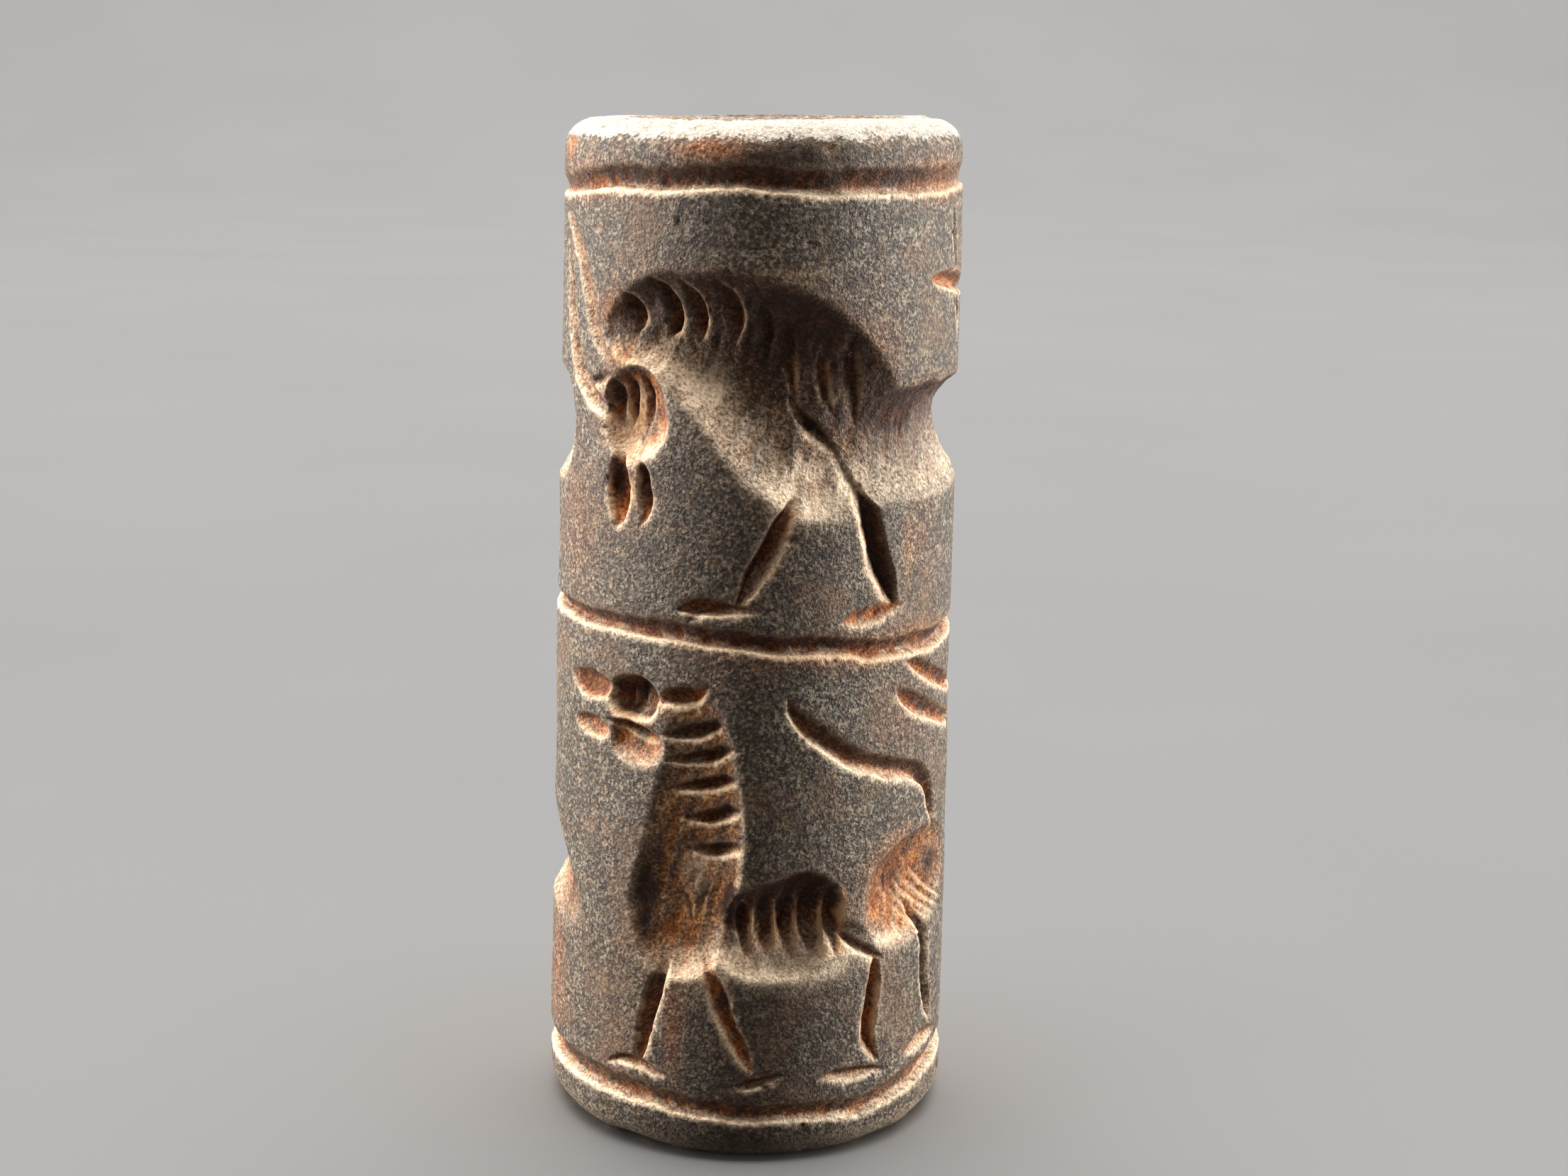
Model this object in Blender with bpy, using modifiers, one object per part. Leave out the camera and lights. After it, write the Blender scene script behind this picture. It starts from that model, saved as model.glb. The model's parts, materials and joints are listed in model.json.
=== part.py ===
"""A cylinder seal: one pierced stone, cut in intaglio with two rows of animals.

The stone stands on its lower end, +Z up, with the origin in the middle of that end. The
carving is laid out on the side as if it were unrolled: "around" is the distance in
millimetres to the right of the middle of the front (-Y), and "up" the height above the
lower end. Every cut is a list of stations (around, up, half width, depth) that one tool
stroke passes through.
"""

import math

import bpy
import numpy as np

MM = 0.001

# the blank, in millimetres
HEIGHT = 38.5
TOP_RADIUS = 7.5
FOOT_RADIUS = 7.9
TOP_ROUNDING = 1.2
FOOT_ROUNDING = 1.25
MOUTH_RADIUS = 2.1
BORE_RADIUS = 1.75
MOUTH_DEPTH = 3.0
TOP_SLANT = math.radians(1.3)      # the upper end isn't square: it rises towards +X
SLANT_FROM = 33.0

# the drawing
DRAWING_RADIUS = 7.65
ONCE_ROUND = 2 * math.pi * DRAWING_RADIUS
THINNEST = 0.02                    # half width of a stroke where it runs out
SHARPNESS = 6                      # how crisply two hollows meet

# the mesh
STEPS_ROUND = 352
ROW_HEIGHT = 0.2
FACETS = 8600

STONE_COLOUR = (0.055, 0.05, 0.046, 1.0)


def curve(stations, per_span=6):
    """A smooth curve through stations of any number of values."""
    p = np.array(stations, float)
    ends = np.vstack([2 * p[0] - p[1], p, 2 * p[-1] - p[-2]])
    points = []
    for a, b, c, d in zip(ends, ends[1:], ends[2:], ends[3:]):
        for t in np.arange(per_span) / per_span:
            bend = (2 * a - 5 * b + 4 * c - d) * t**2 + (3 * b - 3 * c + d - a) * t**3
            points.append(b + 0.5 * ((c - a) * t + bend))
    points.append(p[-1])
    return np.array(points)


class Carving:
    """How deep the tools have cut at each point of the side."""

    def __init__(self, around, up):
        self.around = around
        self.up = up
        self.hollow = np.zeros_like(up)
        self.line = np.zeros_like(up)
        self.over = 0.0
        self.stretch = 1.0

    def sweep(self, stations, fullness, lean):
        """Depth of one stroke: fullness 1 is a vee and 2 a bowl.

        Lean moves the bed sideways, to the left of the stroke's way where it is positive.
        """
        path = curve(stations)
        path[:, 0] = self.over + self.stretch * path[:, 0]
        path[:, 2:] = np.maximum(path[:, 2:], THINNEST)
        middle = path[:, 0].mean()
        x = (self.around - middle + ONCE_ROUND / 2) % ONCE_ROUND - ONCE_ROUND / 2 + middle
        reach = path[:, 2].max()
        near = (x > path[:, 0].min() - reach) & (x < path[:, 0].max() + reach)
        near &= (self.up > path[:, 1].min() - reach) & (self.up < path[:, 1].max() + reach)
        px, pz = x[near], self.up[near]
        away, across, deep = np.ones_like(px), np.zeros_like(px), np.zeros_like(px)
        for a, b in zip(path, path[1:]):
            along, rise = b[:2] - a[:2]
            length = max(math.hypot(along, rise), 1e-6)
            qx, qz = px - a[0], pz - a[1]
            t = np.clip((qx * along + qz * rise) / length**2, 0, 1)
            gap = np.hypot(qx - t * along, qz - t * rise)
            here = gap / (a[2] + t * (b[2] - a[2]))
            nearer = here < away
            offset = (qz * along - qx * rise) / length
            side = np.clip(offset / np.maximum(gap, 1e-9), -1, 1)
            away = np.where(nearer, here, away)
            across = np.where(nearer, side, across)
            deep = np.where(nearer, a[3] + t * (b[3] - a[3]), deep)
        tilt = lean * np.abs(across)
        s = np.where(across < 0, -away, away)
        wall = np.clip(np.where(s < tilt, (1 + s) / (1 + tilt), (1 - s) / (1 - tilt)), 0, 1)
        whole = np.zeros_like(self.up)
        whole[near] = deep * (1 - (1 - wall) ** fullness)
        return whole

    def gouge(self, *stations, fullness=2.2, lean=0.0):
        """A broad hollow. Hollows that overlap run into each other."""
        cut = self.sweep(stations, fullness, lean)
        self.hollow = (self.hollow**SHARPNESS + cut**SHARPNESS) ** (1 / SHARPNESS)

    def groove(self, *stations, fullness=1.5, lean=0.0):
        """A line cut into whatever surface is there."""
        self.line = np.maximum(self.line, self.sweep(stations, fullness, lean))

    def ring(self, *stations, **how):
        """A line all the way round, carried past its own beginning so that it closes."""
        first, second, last = stations[0], stations[1], stations[-1]
        before = (last[0] - ONCE_ROUND, *last[1:])
        after = [(x + ONCE_ROUND, *rest) for x, *rest in (first, second)]
        self.groove(before, *stations, *after, **how)

    def depth(self):
        return self.hollow + self.line


def border_lines(carving):
    """Three rings: under the upper end, between the rows and above the foot."""
    half_round = ONCE_ROUND / 2
    carving.ring(
        (-half_round, 36.42, 0.42, 0.42), (-17.0, 36.3, 0.44, 0.40), (-12.0, 36.05, 0.40, 0.22),
        (-10.0, 36.02, 0.40, 0.20), (-8.0, 36.24, 0.42, 0.34), (-6.0, 36.36, 0.44, 0.46),
        (-4.0, 36.42, 0.46, 0.50), (-2.4, 36.50, 0.45, 0.52), (-1.0, 36.60, 0.42, 0.50),
        (0.2, 36.50, 0.46, 0.54), (2.0, 36.40, 0.48, 0.56), (4.0, 36.44, 0.46, 0.52),
        (6.0, 36.40, 0.46, 0.48), (8.0, 36.42, 0.46, 0.34), (10.0, 36.45, 0.42, 0.20),
        (13.0, 36.5, 0.40, 0.22), (18.0, 36.55, 0.44, 0.40),
        fullness=1.8, lean=-0.66)
    carving.ring(
        (-half_round, 20.0, 0.34, 0.38), (-17.0, 20.25, 0.34, 0.38), (-12.0, 20.3, 0.34, 0.38),
        (-8.0, 20.33, 0.36, 0.40), (-4.0, 20.34, 0.38, 0.44), (-2.0, 20.30, 0.37, 0.45),
        (-0.6, 20.14, 0.39, 0.48), (0.6, 19.99, 0.39, 0.48), (2.0, 19.92, 0.38, 0.48),
        (4.0, 19.78, 0.38, 0.46), (6.0, 19.64, 0.38, 0.46), (8.0, 19.55, 0.38, 0.42),
        (10.0, 19.6, 0.36, 0.40), (14.0, 19.8, 0.34, 0.38), (19.0, 19.9, 0.34, 0.38),
        fullness=1.8, lean=-0.6)
    carving.ring(
        (-half_round, 2.2, 0.46, 0.34), (-14.0, 2.3, 0.48, 0.36), (-10.0, 2.45, 0.50, 0.38),
        (-7.0, 2.50, 0.50, 0.38), (-5.0, 2.44, 0.48, 0.38), (-3.0, 2.32, 0.44, 0.36),
        (-1.0, 2.2, 0.40, 0.34), (1.0, 2.1, 0.38, 0.32), (3.0, 2.06, 0.38, 0.32),
        (5.0, 1.94, 0.42, 0.32), (7.0, 2.2, 0.48, 0.34), (9.0, 2.5, 0.48, 0.36),
        (12.0, 2.5, 0.46, 0.36), (17.0, 2.3, 0.46, 0.34),
        fullness=1.9, lean=-0.76)


def goat_body(carving, horns=True, tail_end=True):
    """Neck and body in one arched sweep, then the rump, the head and two horns laid back."""
    carving.gouge(
        (-5.7, 30.85, 0.6, 0.25), (-5.2, 31.05, 1.05, 0.45), (-4.2, 31.25, 1.6, 0.75),
        (-2.7, 31.2, 2.0, 0.98), (-0.9, 30.55, 2.7, 1.15), (0.6, 29.6, 3.2, 1.25),
        (1.8, 28.55, 3.45, 1.15), (2.5, 27.9, 3.4, 0.95), fullness=2.3, lean=-0.14)
    rump = [(2.6, 27.0, 1.7, 0.8), (4.2, 27.1, 2.05, 0.88), (6.0, 27.1, 2.1, 0.9),
            (8.0, 27.15, 2.1, 0.92), (10.0, 27.2, 2.05, 0.95), (12.0, 27.3, 1.95, 0.95),
            (13.6, 27.4, 1.8, 0.85), (14.8, 27.5, 1.4, 0.4)]
    carving.gouge(*(rump if tail_end else rump[:4]), fullness=2.2, lean=0.32)
    carving.gouge(
        (-4.85, 28.5, 1.36, 0.72), (-4.82, 27.8, 1.42, 0.82), (-4.85, 27.55, 1.3, 0.7),
        fullness=2.7)
    carving.groove(
        (-7.2, 28.95, 0.06, 0.04), (-6.7, 29.1, 0.26, 0.22), (-6.2, 29.35, 0.2, 0.1),
        (-5.9, 29.5, 0.06, 0.03), lean=0.3)
    if not horns:
        return
    carving.groove(
        (-6.2, 30.1, 0.25, 0.06), (-6.9, 30.95, 0.34, 0.16), (-7.5, 32.3, 0.40, 0.19),
        (-8.2, 33.6, 0.40, 0.19), (-8.9, 34.5, 0.34, 0.17), (-9.7, 35.1, 0.15, 0.1),
        fullness=1.9, lean=0.3)
    carving.groove(
        (-6.05, 28.1, 0.3, 0.22), (-6.9, 28.45, 0.44, 0.34), (-7.8, 29.15, 0.5, 0.36),
        (-8.45, 30.1, 0.48, 0.32), (-8.9, 31.2, 0.44, 0.26), (-9.25, 32.6, 0.36, 0.2),
        (-9.5, 34.2, 0.12, 0.08), fullness=1.9, lean=0.25)


def goat_legs(carving):
    """Two striding legs with their hooves, and the beard of two leaf-shaped cuts."""
    carving.groove(
        (-5.42, 26.45, 0.2, 0.1), (-5.42, 25.9, 0.46, 0.5), (-5.40, 25.1, 0.58, 0.62),
        (-5.40, 24.45, 0.42, 0.44), (-5.5, 23.85, 0.08, 0.05), fullness=2.2, lean=0.45)
    carving.groove(
        (-4.5, 26.35, 0.12, 0.06), (-4.28, 25.9, 0.28, 0.36), (-4.2, 25.2, 0.34, 0.44),
        (-4.24, 24.6, 0.24, 0.3), (-4.45, 24.05, 0.06, 0.04), fullness=2.0, lean=0.5)
    carving.groove(
        (1.55, 25.1, 0.22, 0.12), (1.2, 24.6, 0.38, 0.44), (0.62, 23.5, 0.44, 0.56),
        (0.05, 22.4, 0.42, 0.50), (-0.45, 21.4, 0.14, 0.14), fullness=1.6, lean=-0.4)
    carving.groove(
        (-2.8, 21.1, 0.05, 0.04), (-2.1, 21.28, 0.32, 0.42), (-1.3, 21.33, 0.36, 0.48),
        (-0.5, 21.28, 0.22, 0.32), (0.25, 21.18, 0.06, 0.05), fullness=1.9, lean=-0.55)
    carving.groove(
        (1.3, 29.0, 0.05, 0.03), (1.7, 28.4, 0.22, 0.16), (2.1, 27.9, 0.36, 0.36),
        (2.6, 27.5, 0.36, 0.32), (3.1, 26.95, 0.24, 0.12), (3.5, 26.3, 0.24, 0.08),
        (3.95, 25.4, 0.34, 0.20),
        (4.37, 24.5, 0.52, 0.56), (4.74, 23.3, 0.58, 0.68), (5.25, 22.0, 0.52, 0.56),
        (5.52, 21.4, 0.34, 0.3), (5.85, 20.95, 0.08, 0.05), fullness=1.45, lean=0.5)
    carving.groove(
        (3.5, 20.72, 0.14, 0.08), (4.2, 20.86, 0.34, 0.36), (5.0, 20.98, 0.33, 0.38),
        (5.7, 21.1, 0.2, 0.24), (6.2, 21.2, 0.05, 0.04), fullness=1.8, lean=-0.35)


def goat_strokes(carving):
    """The bowed strokes of mane and ribs, and the ridges inside the head."""
    rows = (
        ((-5.6, 32.4), (-5.25, 31.95), (-5.05, 31.4), (-5.12, 30.8), 0.32, 0.24),
        ((-4.3, 32.8), (-3.82, 32.2), (-3.6, 31.5), (-3.7, 30.8), 0.42, 0.34),
        ((-3.05, 32.9), (-2.6, 32.2), (-2.45, 31.5), (-2.55, 30.8), 0.38, 0.32),
        ((-1.6, 32.8), (-1.12, 32.2), (-0.98, 31.5), (-1.1, 30.6), 0.42, 0.32),
        ((0.15, 32.0), (0.3, 31.4), (0.35, 30.9), (0.3, 30.2), 0.34, 0.24),
        ((1.15, 31.6), (1.3, 30.6), (1.4, 29.8), (1.5, 29.0), 0.32, 0.20),
        ((2.5, 30.4), (2.65, 29.6), (2.8, 29.0), (3.1, 28.3), 0.32, 0.22),
        ((3.6, 31.0), (3.7, 29.9), (3.9, 28.9), (4.25, 27.7), 0.38, 0.24),
    )
    for first, second, third, last, half, deep in rows:
        carving.groove((*first, 0.3 * half, 0.03), (*second, half, deep), (*third, half, 0.9 * deep),
                       (*last, 0.3 * half, 0.03), fullness=1.7, lean=0.7)
    for first, second, third, half, deep in (
        ((-5.95, 29.4), (-5.9, 28.5), (-5.8, 27.4), 0.30, 0.26),
        ((-5.45, 29.6), (-5.35, 28.6), (-5.3, 27.5), 0.24, 0.24),
        ((-4.9, 29.5), (-4.55, 28.5), (-4.6, 27.4), 0.24, 0.22),
    ):
        carving.groove((*first, 0.3 * half, 0.04), (*second, half, deep), (*third, 0.4 * half, 0.04),
                       fullness=1.8, lean=0.35)


def beast_head(carving):
    """Two sunk rounds for head and jaw, the slit of the mouth and a leaf-shaped ear."""
    carving.gouge((-5.0, 17.6, 0.78, 0.76), (-4.6, 17.62, 0.84, 0.90), (-4.25, 17.6, 0.78, 0.80),
                  fullness=4.0, lean=-0.1)
    carving.gouge((-4.9, 16.05, 0.85, 0.46), (-4.4, 15.95, 0.92, 0.54), (-4.05, 16.0, 0.8, 0.46),
                  fullness=2.2)
    carving.groove((-5.75, 16.62, 0.1, 0.06), (-5.0, 16.5, 0.24, 0.30), (-4.2, 16.3, 0.26, 0.34),
                   (-3.4, 16.15, 0.1, 0.06), lean=-0.4)
    carving.groove((-3.5, 17.7, 0.12, 0.1), (-2.8, 17.88, 0.38, 0.38), (-2.1, 18.02, 0.38, 0.40),
                   (-1.45, 18.36, 0.06, 0.05), fullness=2.0, lean=-0.4)


def beast_body(carving, rump=True):
    """Ringed neck and chest in one sweep, then belly and rump, each a hollow of its own."""
    carving.gouge(
        (-2.05, 17.3, 0.95, 0.22), (-1.9, 16.0, 1.3, 0.34), (-1.85, 15.0, 1.48, 0.40),
        (-1.98, 14.0, 1.73, 0.46), (-2.0, 13.0, 1.9, 0.54), (-2.1, 12.0, 2.0, 0.62),
        (-2.32, 11.0, 2.1, 0.72), (-2.5, 10.0, 2.15, 0.80), (-2.6, 9.1, 1.95, 0.74),
        fullness=2.5, lean=0.42)
    carving.gouge(
        (0.45, 9.05, 1.8, 0.66), (1.3, 9.25, 1.95, 0.80), (2.0, 9.6, 1.8, 0.80),
        fullness=3.2, lean=0.1)
    carving.gouge((2.6, 8.95, 1.0, 0.3), (3.6, 8.9, 0.72, 0.22), (4.6, 8.6, 0.52, 0.12))
    if not rump:
        return
    carving.gouge(
        (5.9, 9.75, 1.4, 0.42), (6.6, 9.85, 2.0, 0.66), (7.4, 10.05, 2.1, 0.72),
        (8.4, 10.5, 1.7, 0.5), (9.2, 11.0, 1.0, 0.2), fullness=2.2, lean=0.2)


def beast_legs(carving, tail=True):
    """Four thin legs on their hooves, and the long tail that drops behind."""
    carving.groove(
        (-3.15, 7.5, 0.28, 0.12), (-3.4, 6.6, 0.36, 0.42), (-3.74, 5.3, 0.34, 0.46),
        (-4.02, 4.2, 0.28, 0.38), (-4.12, 3.6, 0.14, 0.12), fullness=1.8, lean=0.6)
    carving.groove(
        (-5.65, 3.2, 0.04, 0.03), (-4.9, 3.5, 0.2, 0.28), (-4.2, 3.52, 0.28, 0.34),
        (-3.5, 3.36, 0.2, 0.24), (-2.9, 3.28, 0.05, 0.04), fullness=1.8, lean=-0.35)
    carving.groove(
        (-1.42, 7.8, 0.28, 0.12), (-1.02, 6.7, 0.36, 0.36), (-0.52, 5.5, 0.34, 0.40),
        (-0.02, 4.4, 0.28, 0.34), (0.28, 3.75, 0.12, 0.12), fullness=1.8, lean=-0.35)
    carving.groove(
        (-0.45, 3.12, 0.05, 0.04), (0.2, 3.22, 0.2, 0.28), (0.8, 3.36, 0.18, 0.26),
        (1.45, 3.55, 0.04, 0.03), fullness=1.7, lean=-0.4)
    carving.groove(
        (3.45, 9.2, 0.05, 0.05), (4.0, 8.7, 0.20, 0.28), (4.8, 8.1, 0.24, 0.34),
        (5.5, 7.72, 0.12, 0.12), fullness=1.7, lean=-0.5)
    carving.groove(
        (5.22, 7.75, 0.18, 0.14), (5.15, 6.6, 0.36, 0.42), (5.0, 5.3, 0.37, 0.46),
        (4.95, 4.4, 0.34, 0.40), (5.3, 3.6, 0.12, 0.1), fullness=1.5, lean=0.3)
    carving.groove(
        (2.95, 3.3, 0.08, 0.05), (3.6, 3.34, 0.24, 0.3), (4.6, 3.3, 0.24, 0.3),
        (5.3, 3.18, 0.12, 0.15), (5.95, 2.95, 0.03, 0.03), fullness=1.8, lean=-0.35)
    if not tail:
        return
    carving.groove(
        (7.45, 9.3, 0.08, 0.05), (8.05, 8.4, 0.30, 0.38), (8.25, 7.2, 0.33, 0.42),
        (8.4, 5.8, 0.35, 0.42), (8.65, 4.8, 0.32, 0.38), (9.0, 3.95, 0.08, 0.06),
        fullness=1.7, lean=-0.3)
    carving.groove(
        (6.9, 3.15, 0.08, 0.05), (7.7, 3.42, 0.28, 0.26), (8.5, 3.62, 0.3, 0.28),
        (9.4, 3.5, 0.1, 0.08), fullness=1.7, lean=-0.3)
    carving.groove(
        (1.45, 18.05, 0.06, 0.05), (1.75, 17.4, 0.26, 0.3), (2.4, 16.65, 0.38, 0.42),
        (3.6, 15.9, 0.42, 0.48), (5.0, 15.25, 0.44, 0.48), (6.4, 14.78, 0.44, 0.48),
        (7.5, 14.45, 0.40, 0.44), (8.2, 13.85, 0.38, 0.46), (8.6, 13.0, 0.38, 0.46),
        (8.95, 12.1, 0.14, 0.12), fullness=1.8, lean=-0.4)


def beast_strokes(carving):
    """Rings on the neck and ribs on the belly."""
    rings = (
        ((-3.2, 16.4), (-2.1, 16.62), (-1.0, 17.0)), ((-3.05, 15.45), (-1.9, 15.66), (-0.6, 16.08)),
        ((-2.8, 14.38), (-1.6, 14.58), (-0.35, 15.0)), ((-2.45, 13.25), (-1.35, 13.42), (-0.25, 13.8)),
        ((-2.3, 12.15), (-1.2, 12.15), (-0.15, 12.4)),
    )
    for (xa, za), (xb, zb), (xc, zc) in rings:
        carving.groove((xa - 0.2, za, 0.05, 0.04), (0.5 * (xa + xb), 0.5 * (za + zb), 0.24, 0.26),
                       (xb, zb, 0.31, 0.38), (0.5 * (xb + xc), 0.5 * (zb + zc), 0.29, 0.32),
                       (xc, zc, 0.06, 0.03), fullness=1.7, lean=-0.5)
    for x, top, half in ((-0.1, 9.9, 0.28), (0.72, 10.6, 0.42), (1.6, 10.9, 0.42),
                         (2.56, 11.0, 0.46), (3.4, 10.8, 0.30)):
        carving.groove((x, top, 0.14, 0.04), (x, 9.8, half, 0.24), (x + 0.05, 9.0, half, 0.24),
                       (x + 0.08, 8.4, 0.65 * half, 0.16), (x + 0.1, 8.0, 0.08, 0.02),
                       fullness=2.0, lean=-0.25)


def front_figures(carving):
    """The side that was cut with most care."""
    goat_body(carving)
    goat_legs(carving)
    goat_strokes(carving)
    beast_head(carving)
    beast_body(carving)
    beast_legs(carving)
    beast_strokes(carving)
    carving.groove((-8.25, 17.9, 0.05, 0.04), (-7.3, 17.75, 0.54, 0.38), (-6.4, 17.75, 0.54, 0.42),
                   (-5.65, 17.9, 0.12, 0.1), fullness=1.9, lean=0.15)
    carving.groove((-8.0, 16.2, 0.05, 0.04), (-7.2, 16.15, 0.40, 0.32), (-6.4, 16.15, 0.40, 0.34),
                   (-5.75, 16.2, 0.08, 0.06), fullness=1.9, lean=0.1)


def side_figures(carving):
    """What the other two animals of each row bring: the same figures, drawn shorter."""
    carving.over, carving.stretch = 17.0, 0.84
    goat_body(carving, horns=False)
    goat_legs(carving)
    goat_strokes(carving)
    carving.over, carving.stretch = -17.2, 0.84
    goat_body(carving, tail_end=False)
    goat_legs(carving)
    goat_strokes(carving)
    carving.over, carving.stretch = 16.2, 0.9
    beast_head(carving)
    beast_body(carving)
    beast_legs(carving)
    beast_strokes(carving)
    carving.over, carving.stretch = -16.6, 0.9
    beast_head(carving)
    beast_body(carving, rump=False)
    beast_legs(carving, tail=False)
    carving.over, carving.stretch = 0.0, 1.0
    carving.gouge(
        (-14.4, 10.5, 1.4, 0.4), (-12.8, 10.5, 2.0, 0.85), (-11.3, 10.3, 2.0, 0.85),
        (-10.3, 9.9, 1.8, 0.65), (-9.5, 9.4, 1.5, 0.42), (-8.7, 9.0, 1.2, 0.22),
        fullness=2.2, lean=0.25)
    # the horn, ear and snout of the figures that follow on the right
    carving.groove((7.5, 32.95, 0.08, 0.06), (8.3, 32.9, 0.34, 0.36), (9.6, 32.75, 0.40, 0.44),
                   (11.5, 32.5, 0.36, 0.36), (13.0, 31.6, 0.2, 0.1), fullness=1.9, lean=-0.2)
    carving.groove((9.35, 35.4, 0.08, 0.06), (9.5, 34.4, 0.22, 0.26), (9.8, 33.3, 0.22, 0.2),
                   fullness=1.6)
    carving.groove((10.1, 32.1, 0.12, 0.1), (10.3, 31.4, 0.26, 0.3), (10.4, 30.6, 0.06, 0.05),
                   fullness=1.6)
    carving.groove((6.35, 18.95, 0.06, 0.05), (7.3, 18.65, 0.32, 0.34), (8.7, 18.0, 0.36, 0.36),
                   (10.6, 17.2, 0.3, 0.3), fullness=1.8, lean=-0.45)
    carving.groove((6.0, 17.9, 0.06, 0.05), (6.7, 17.48, 0.36, 0.38), (8.2, 16.72, 0.40, 0.38),
                   (10.3, 15.95, 0.3, 0.3), fullness=1.8, lean=-0.45)


def carve(around, up):
    """The whole design: the front in full, the far side plainer."""
    carving = Carving(around, up)
    border_lines(carving)
    front_figures(carving)
    side_figures(carving)
    return carving.depth()


def rounding(radius, height, size, start):
    """A quarter circle of the profile, from angle start and turning clockwise."""
    steps = 6
    for k in range(steps + 1):
        angle = start - math.pi / 2 * k / steps
        yield radius + size * math.cos(angle), height + size * math.sin(angle)


def profile():
    """The section of the blank at +X: over the upper end, down the side and up the bore."""
    across = np.linspace(MOUTH_RADIUS, TOP_RADIUS - TOP_ROUNDING, 8)[:-1]
    points = [(r, HEIGHT) for r in across]
    points += rounding(TOP_RADIUS - TOP_ROUNDING, HEIGHT - TOP_ROUNDING, TOP_ROUNDING, math.pi / 2)
    side = HEIGHT - TOP_ROUNDING - FOOT_ROUNDING
    rows = int(side / ROW_HEIGHT)
    for k in range(1, rows):
        share = k / rows
        radius = TOP_RADIUS + (FOOT_RADIUS - TOP_RADIUS) * share
        points.append((radius, HEIGHT - TOP_ROUNDING - side * share))
    points += rounding(FOOT_RADIUS - FOOT_ROUNDING, FOOT_ROUNDING, FOOT_ROUNDING, 0.0)
    across = np.linspace(FOOT_RADIUS - FOOT_ROUNDING, MOUTH_RADIUS, 8)[1:]
    points += [(r, 0.0) for r in across]
    for share in np.linspace(0.0, 1.0, 16)[1:-1]:
        z = HEIGHT * share
        mouth = max(0.0, 1 - min(z, HEIGHT - z) / MOUTH_DEPTH)
        points.append((BORE_RADIUS + (MOUTH_RADIUS - BORE_RADIUS) * mouth, z))
    return points


def turned_blank():
    """The profile turned through a full circle, as a mesh in millimetres."""
    points = profile()
    outline = bpy.data.meshes.new("blank_profile")
    count = len(points)
    edges = [(k, (k + 1) % count) for k in range(count)]
    outline.from_pydata([(r, 0.0, z) for r, z in points], edges, [])
    blank = bpy.data.objects.new("blank", outline)
    bpy.context.scene.collection.objects.link(blank)
    screw = blank.modifiers.new("Turn", "SCREW")
    screw.axis = "Z"
    screw.angle = 2 * math.pi
    screw.steps = screw.render_steps = STEPS_ROUND
    screw.use_merge_vertices = True
    screw.merge_threshold = 0.0001
    graph = bpy.context.evaluated_depsgraph_get()
    mesh = bpy.data.meshes.new_from_object(blank.evaluated_get(graph))
    bpy.data.objects.remove(blank)
    bpy.data.meshes.remove(outline)
    return mesh


def cut_stone(mesh):
    """Sinks the carving into the side, slants the upper end and brings the mesh to metres."""
    co = np.empty(len(mesh.vertices) * 3)
    mesh.vertices.foreach_get("co", co)
    x, y, z = co.reshape(-1, 3).T
    radius = np.hypot(x, y)
    around = np.arctan2(x, -y) * DRAWING_RADIUS
    outside = radius > TOP_RADIUS - 0.5 * FOOT_ROUNDING
    sunk = np.where(outside, carve(around, z), 0.0)
    shrink = (radius - sunk) / radius
    slant = math.tan(TOP_SLANT) * np.clip((z - SLANT_FROM) / (HEIGHT - SLANT_FROM), 0, 1)
    stone = np.stack([x * shrink, y * shrink, z + slant * x], axis=1) * MM
    mesh.vertices.foreach_set("co", stone.ravel())
    mesh.update()


def stone_material():
    material = bpy.data.materials.new("dark_stone")
    material.use_nodes = True
    shader = material.node_tree.nodes["Principled BSDF"]
    shader.inputs["Base Color"].default_value = STONE_COLOUR
    shader.inputs["Roughness"].default_value = 0.7
    shader.inputs["Metallic"].default_value = 0.0
    return material


def main():
    for old in list(bpy.data.objects):
        bpy.data.objects.remove(old)
    collection = bpy.data.collections.new("cylinder_seal")
    bpy.context.scene.collection.children.link(collection)
    mesh = turned_blank()
    mesh.name = "seal_stone"
    cut_stone(mesh)
    mesh.shade_smooth()
    mesh.set_sharp_from_angle(angle=math.radians(35))
    mesh.materials.append(stone_material())
    stone = bpy.data.objects.new("seal_stone", mesh)
    collection.objects.link(stone)
    facets = sum(len(face.vertices) - 2 for face in mesh.polygons)
    reduce = stone.modifiers.new("Facets", "DECIMATE")
    reduce.ratio = FACETS / facets


main()
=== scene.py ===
"""A cylinder seal: its carved, worn and earth-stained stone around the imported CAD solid.

The side is laid out as if unrolled: "around" is the distance in millimetres to the right of
the middle of the front (-Y), and "up" the height above the lower end. Every cut is a list of
stations (around, up, half width, depth) that one stroke of the tool passes through.
"""

import json
import math

import bpy
import numpy as np
from mathutils import Matrix, Vector


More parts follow.
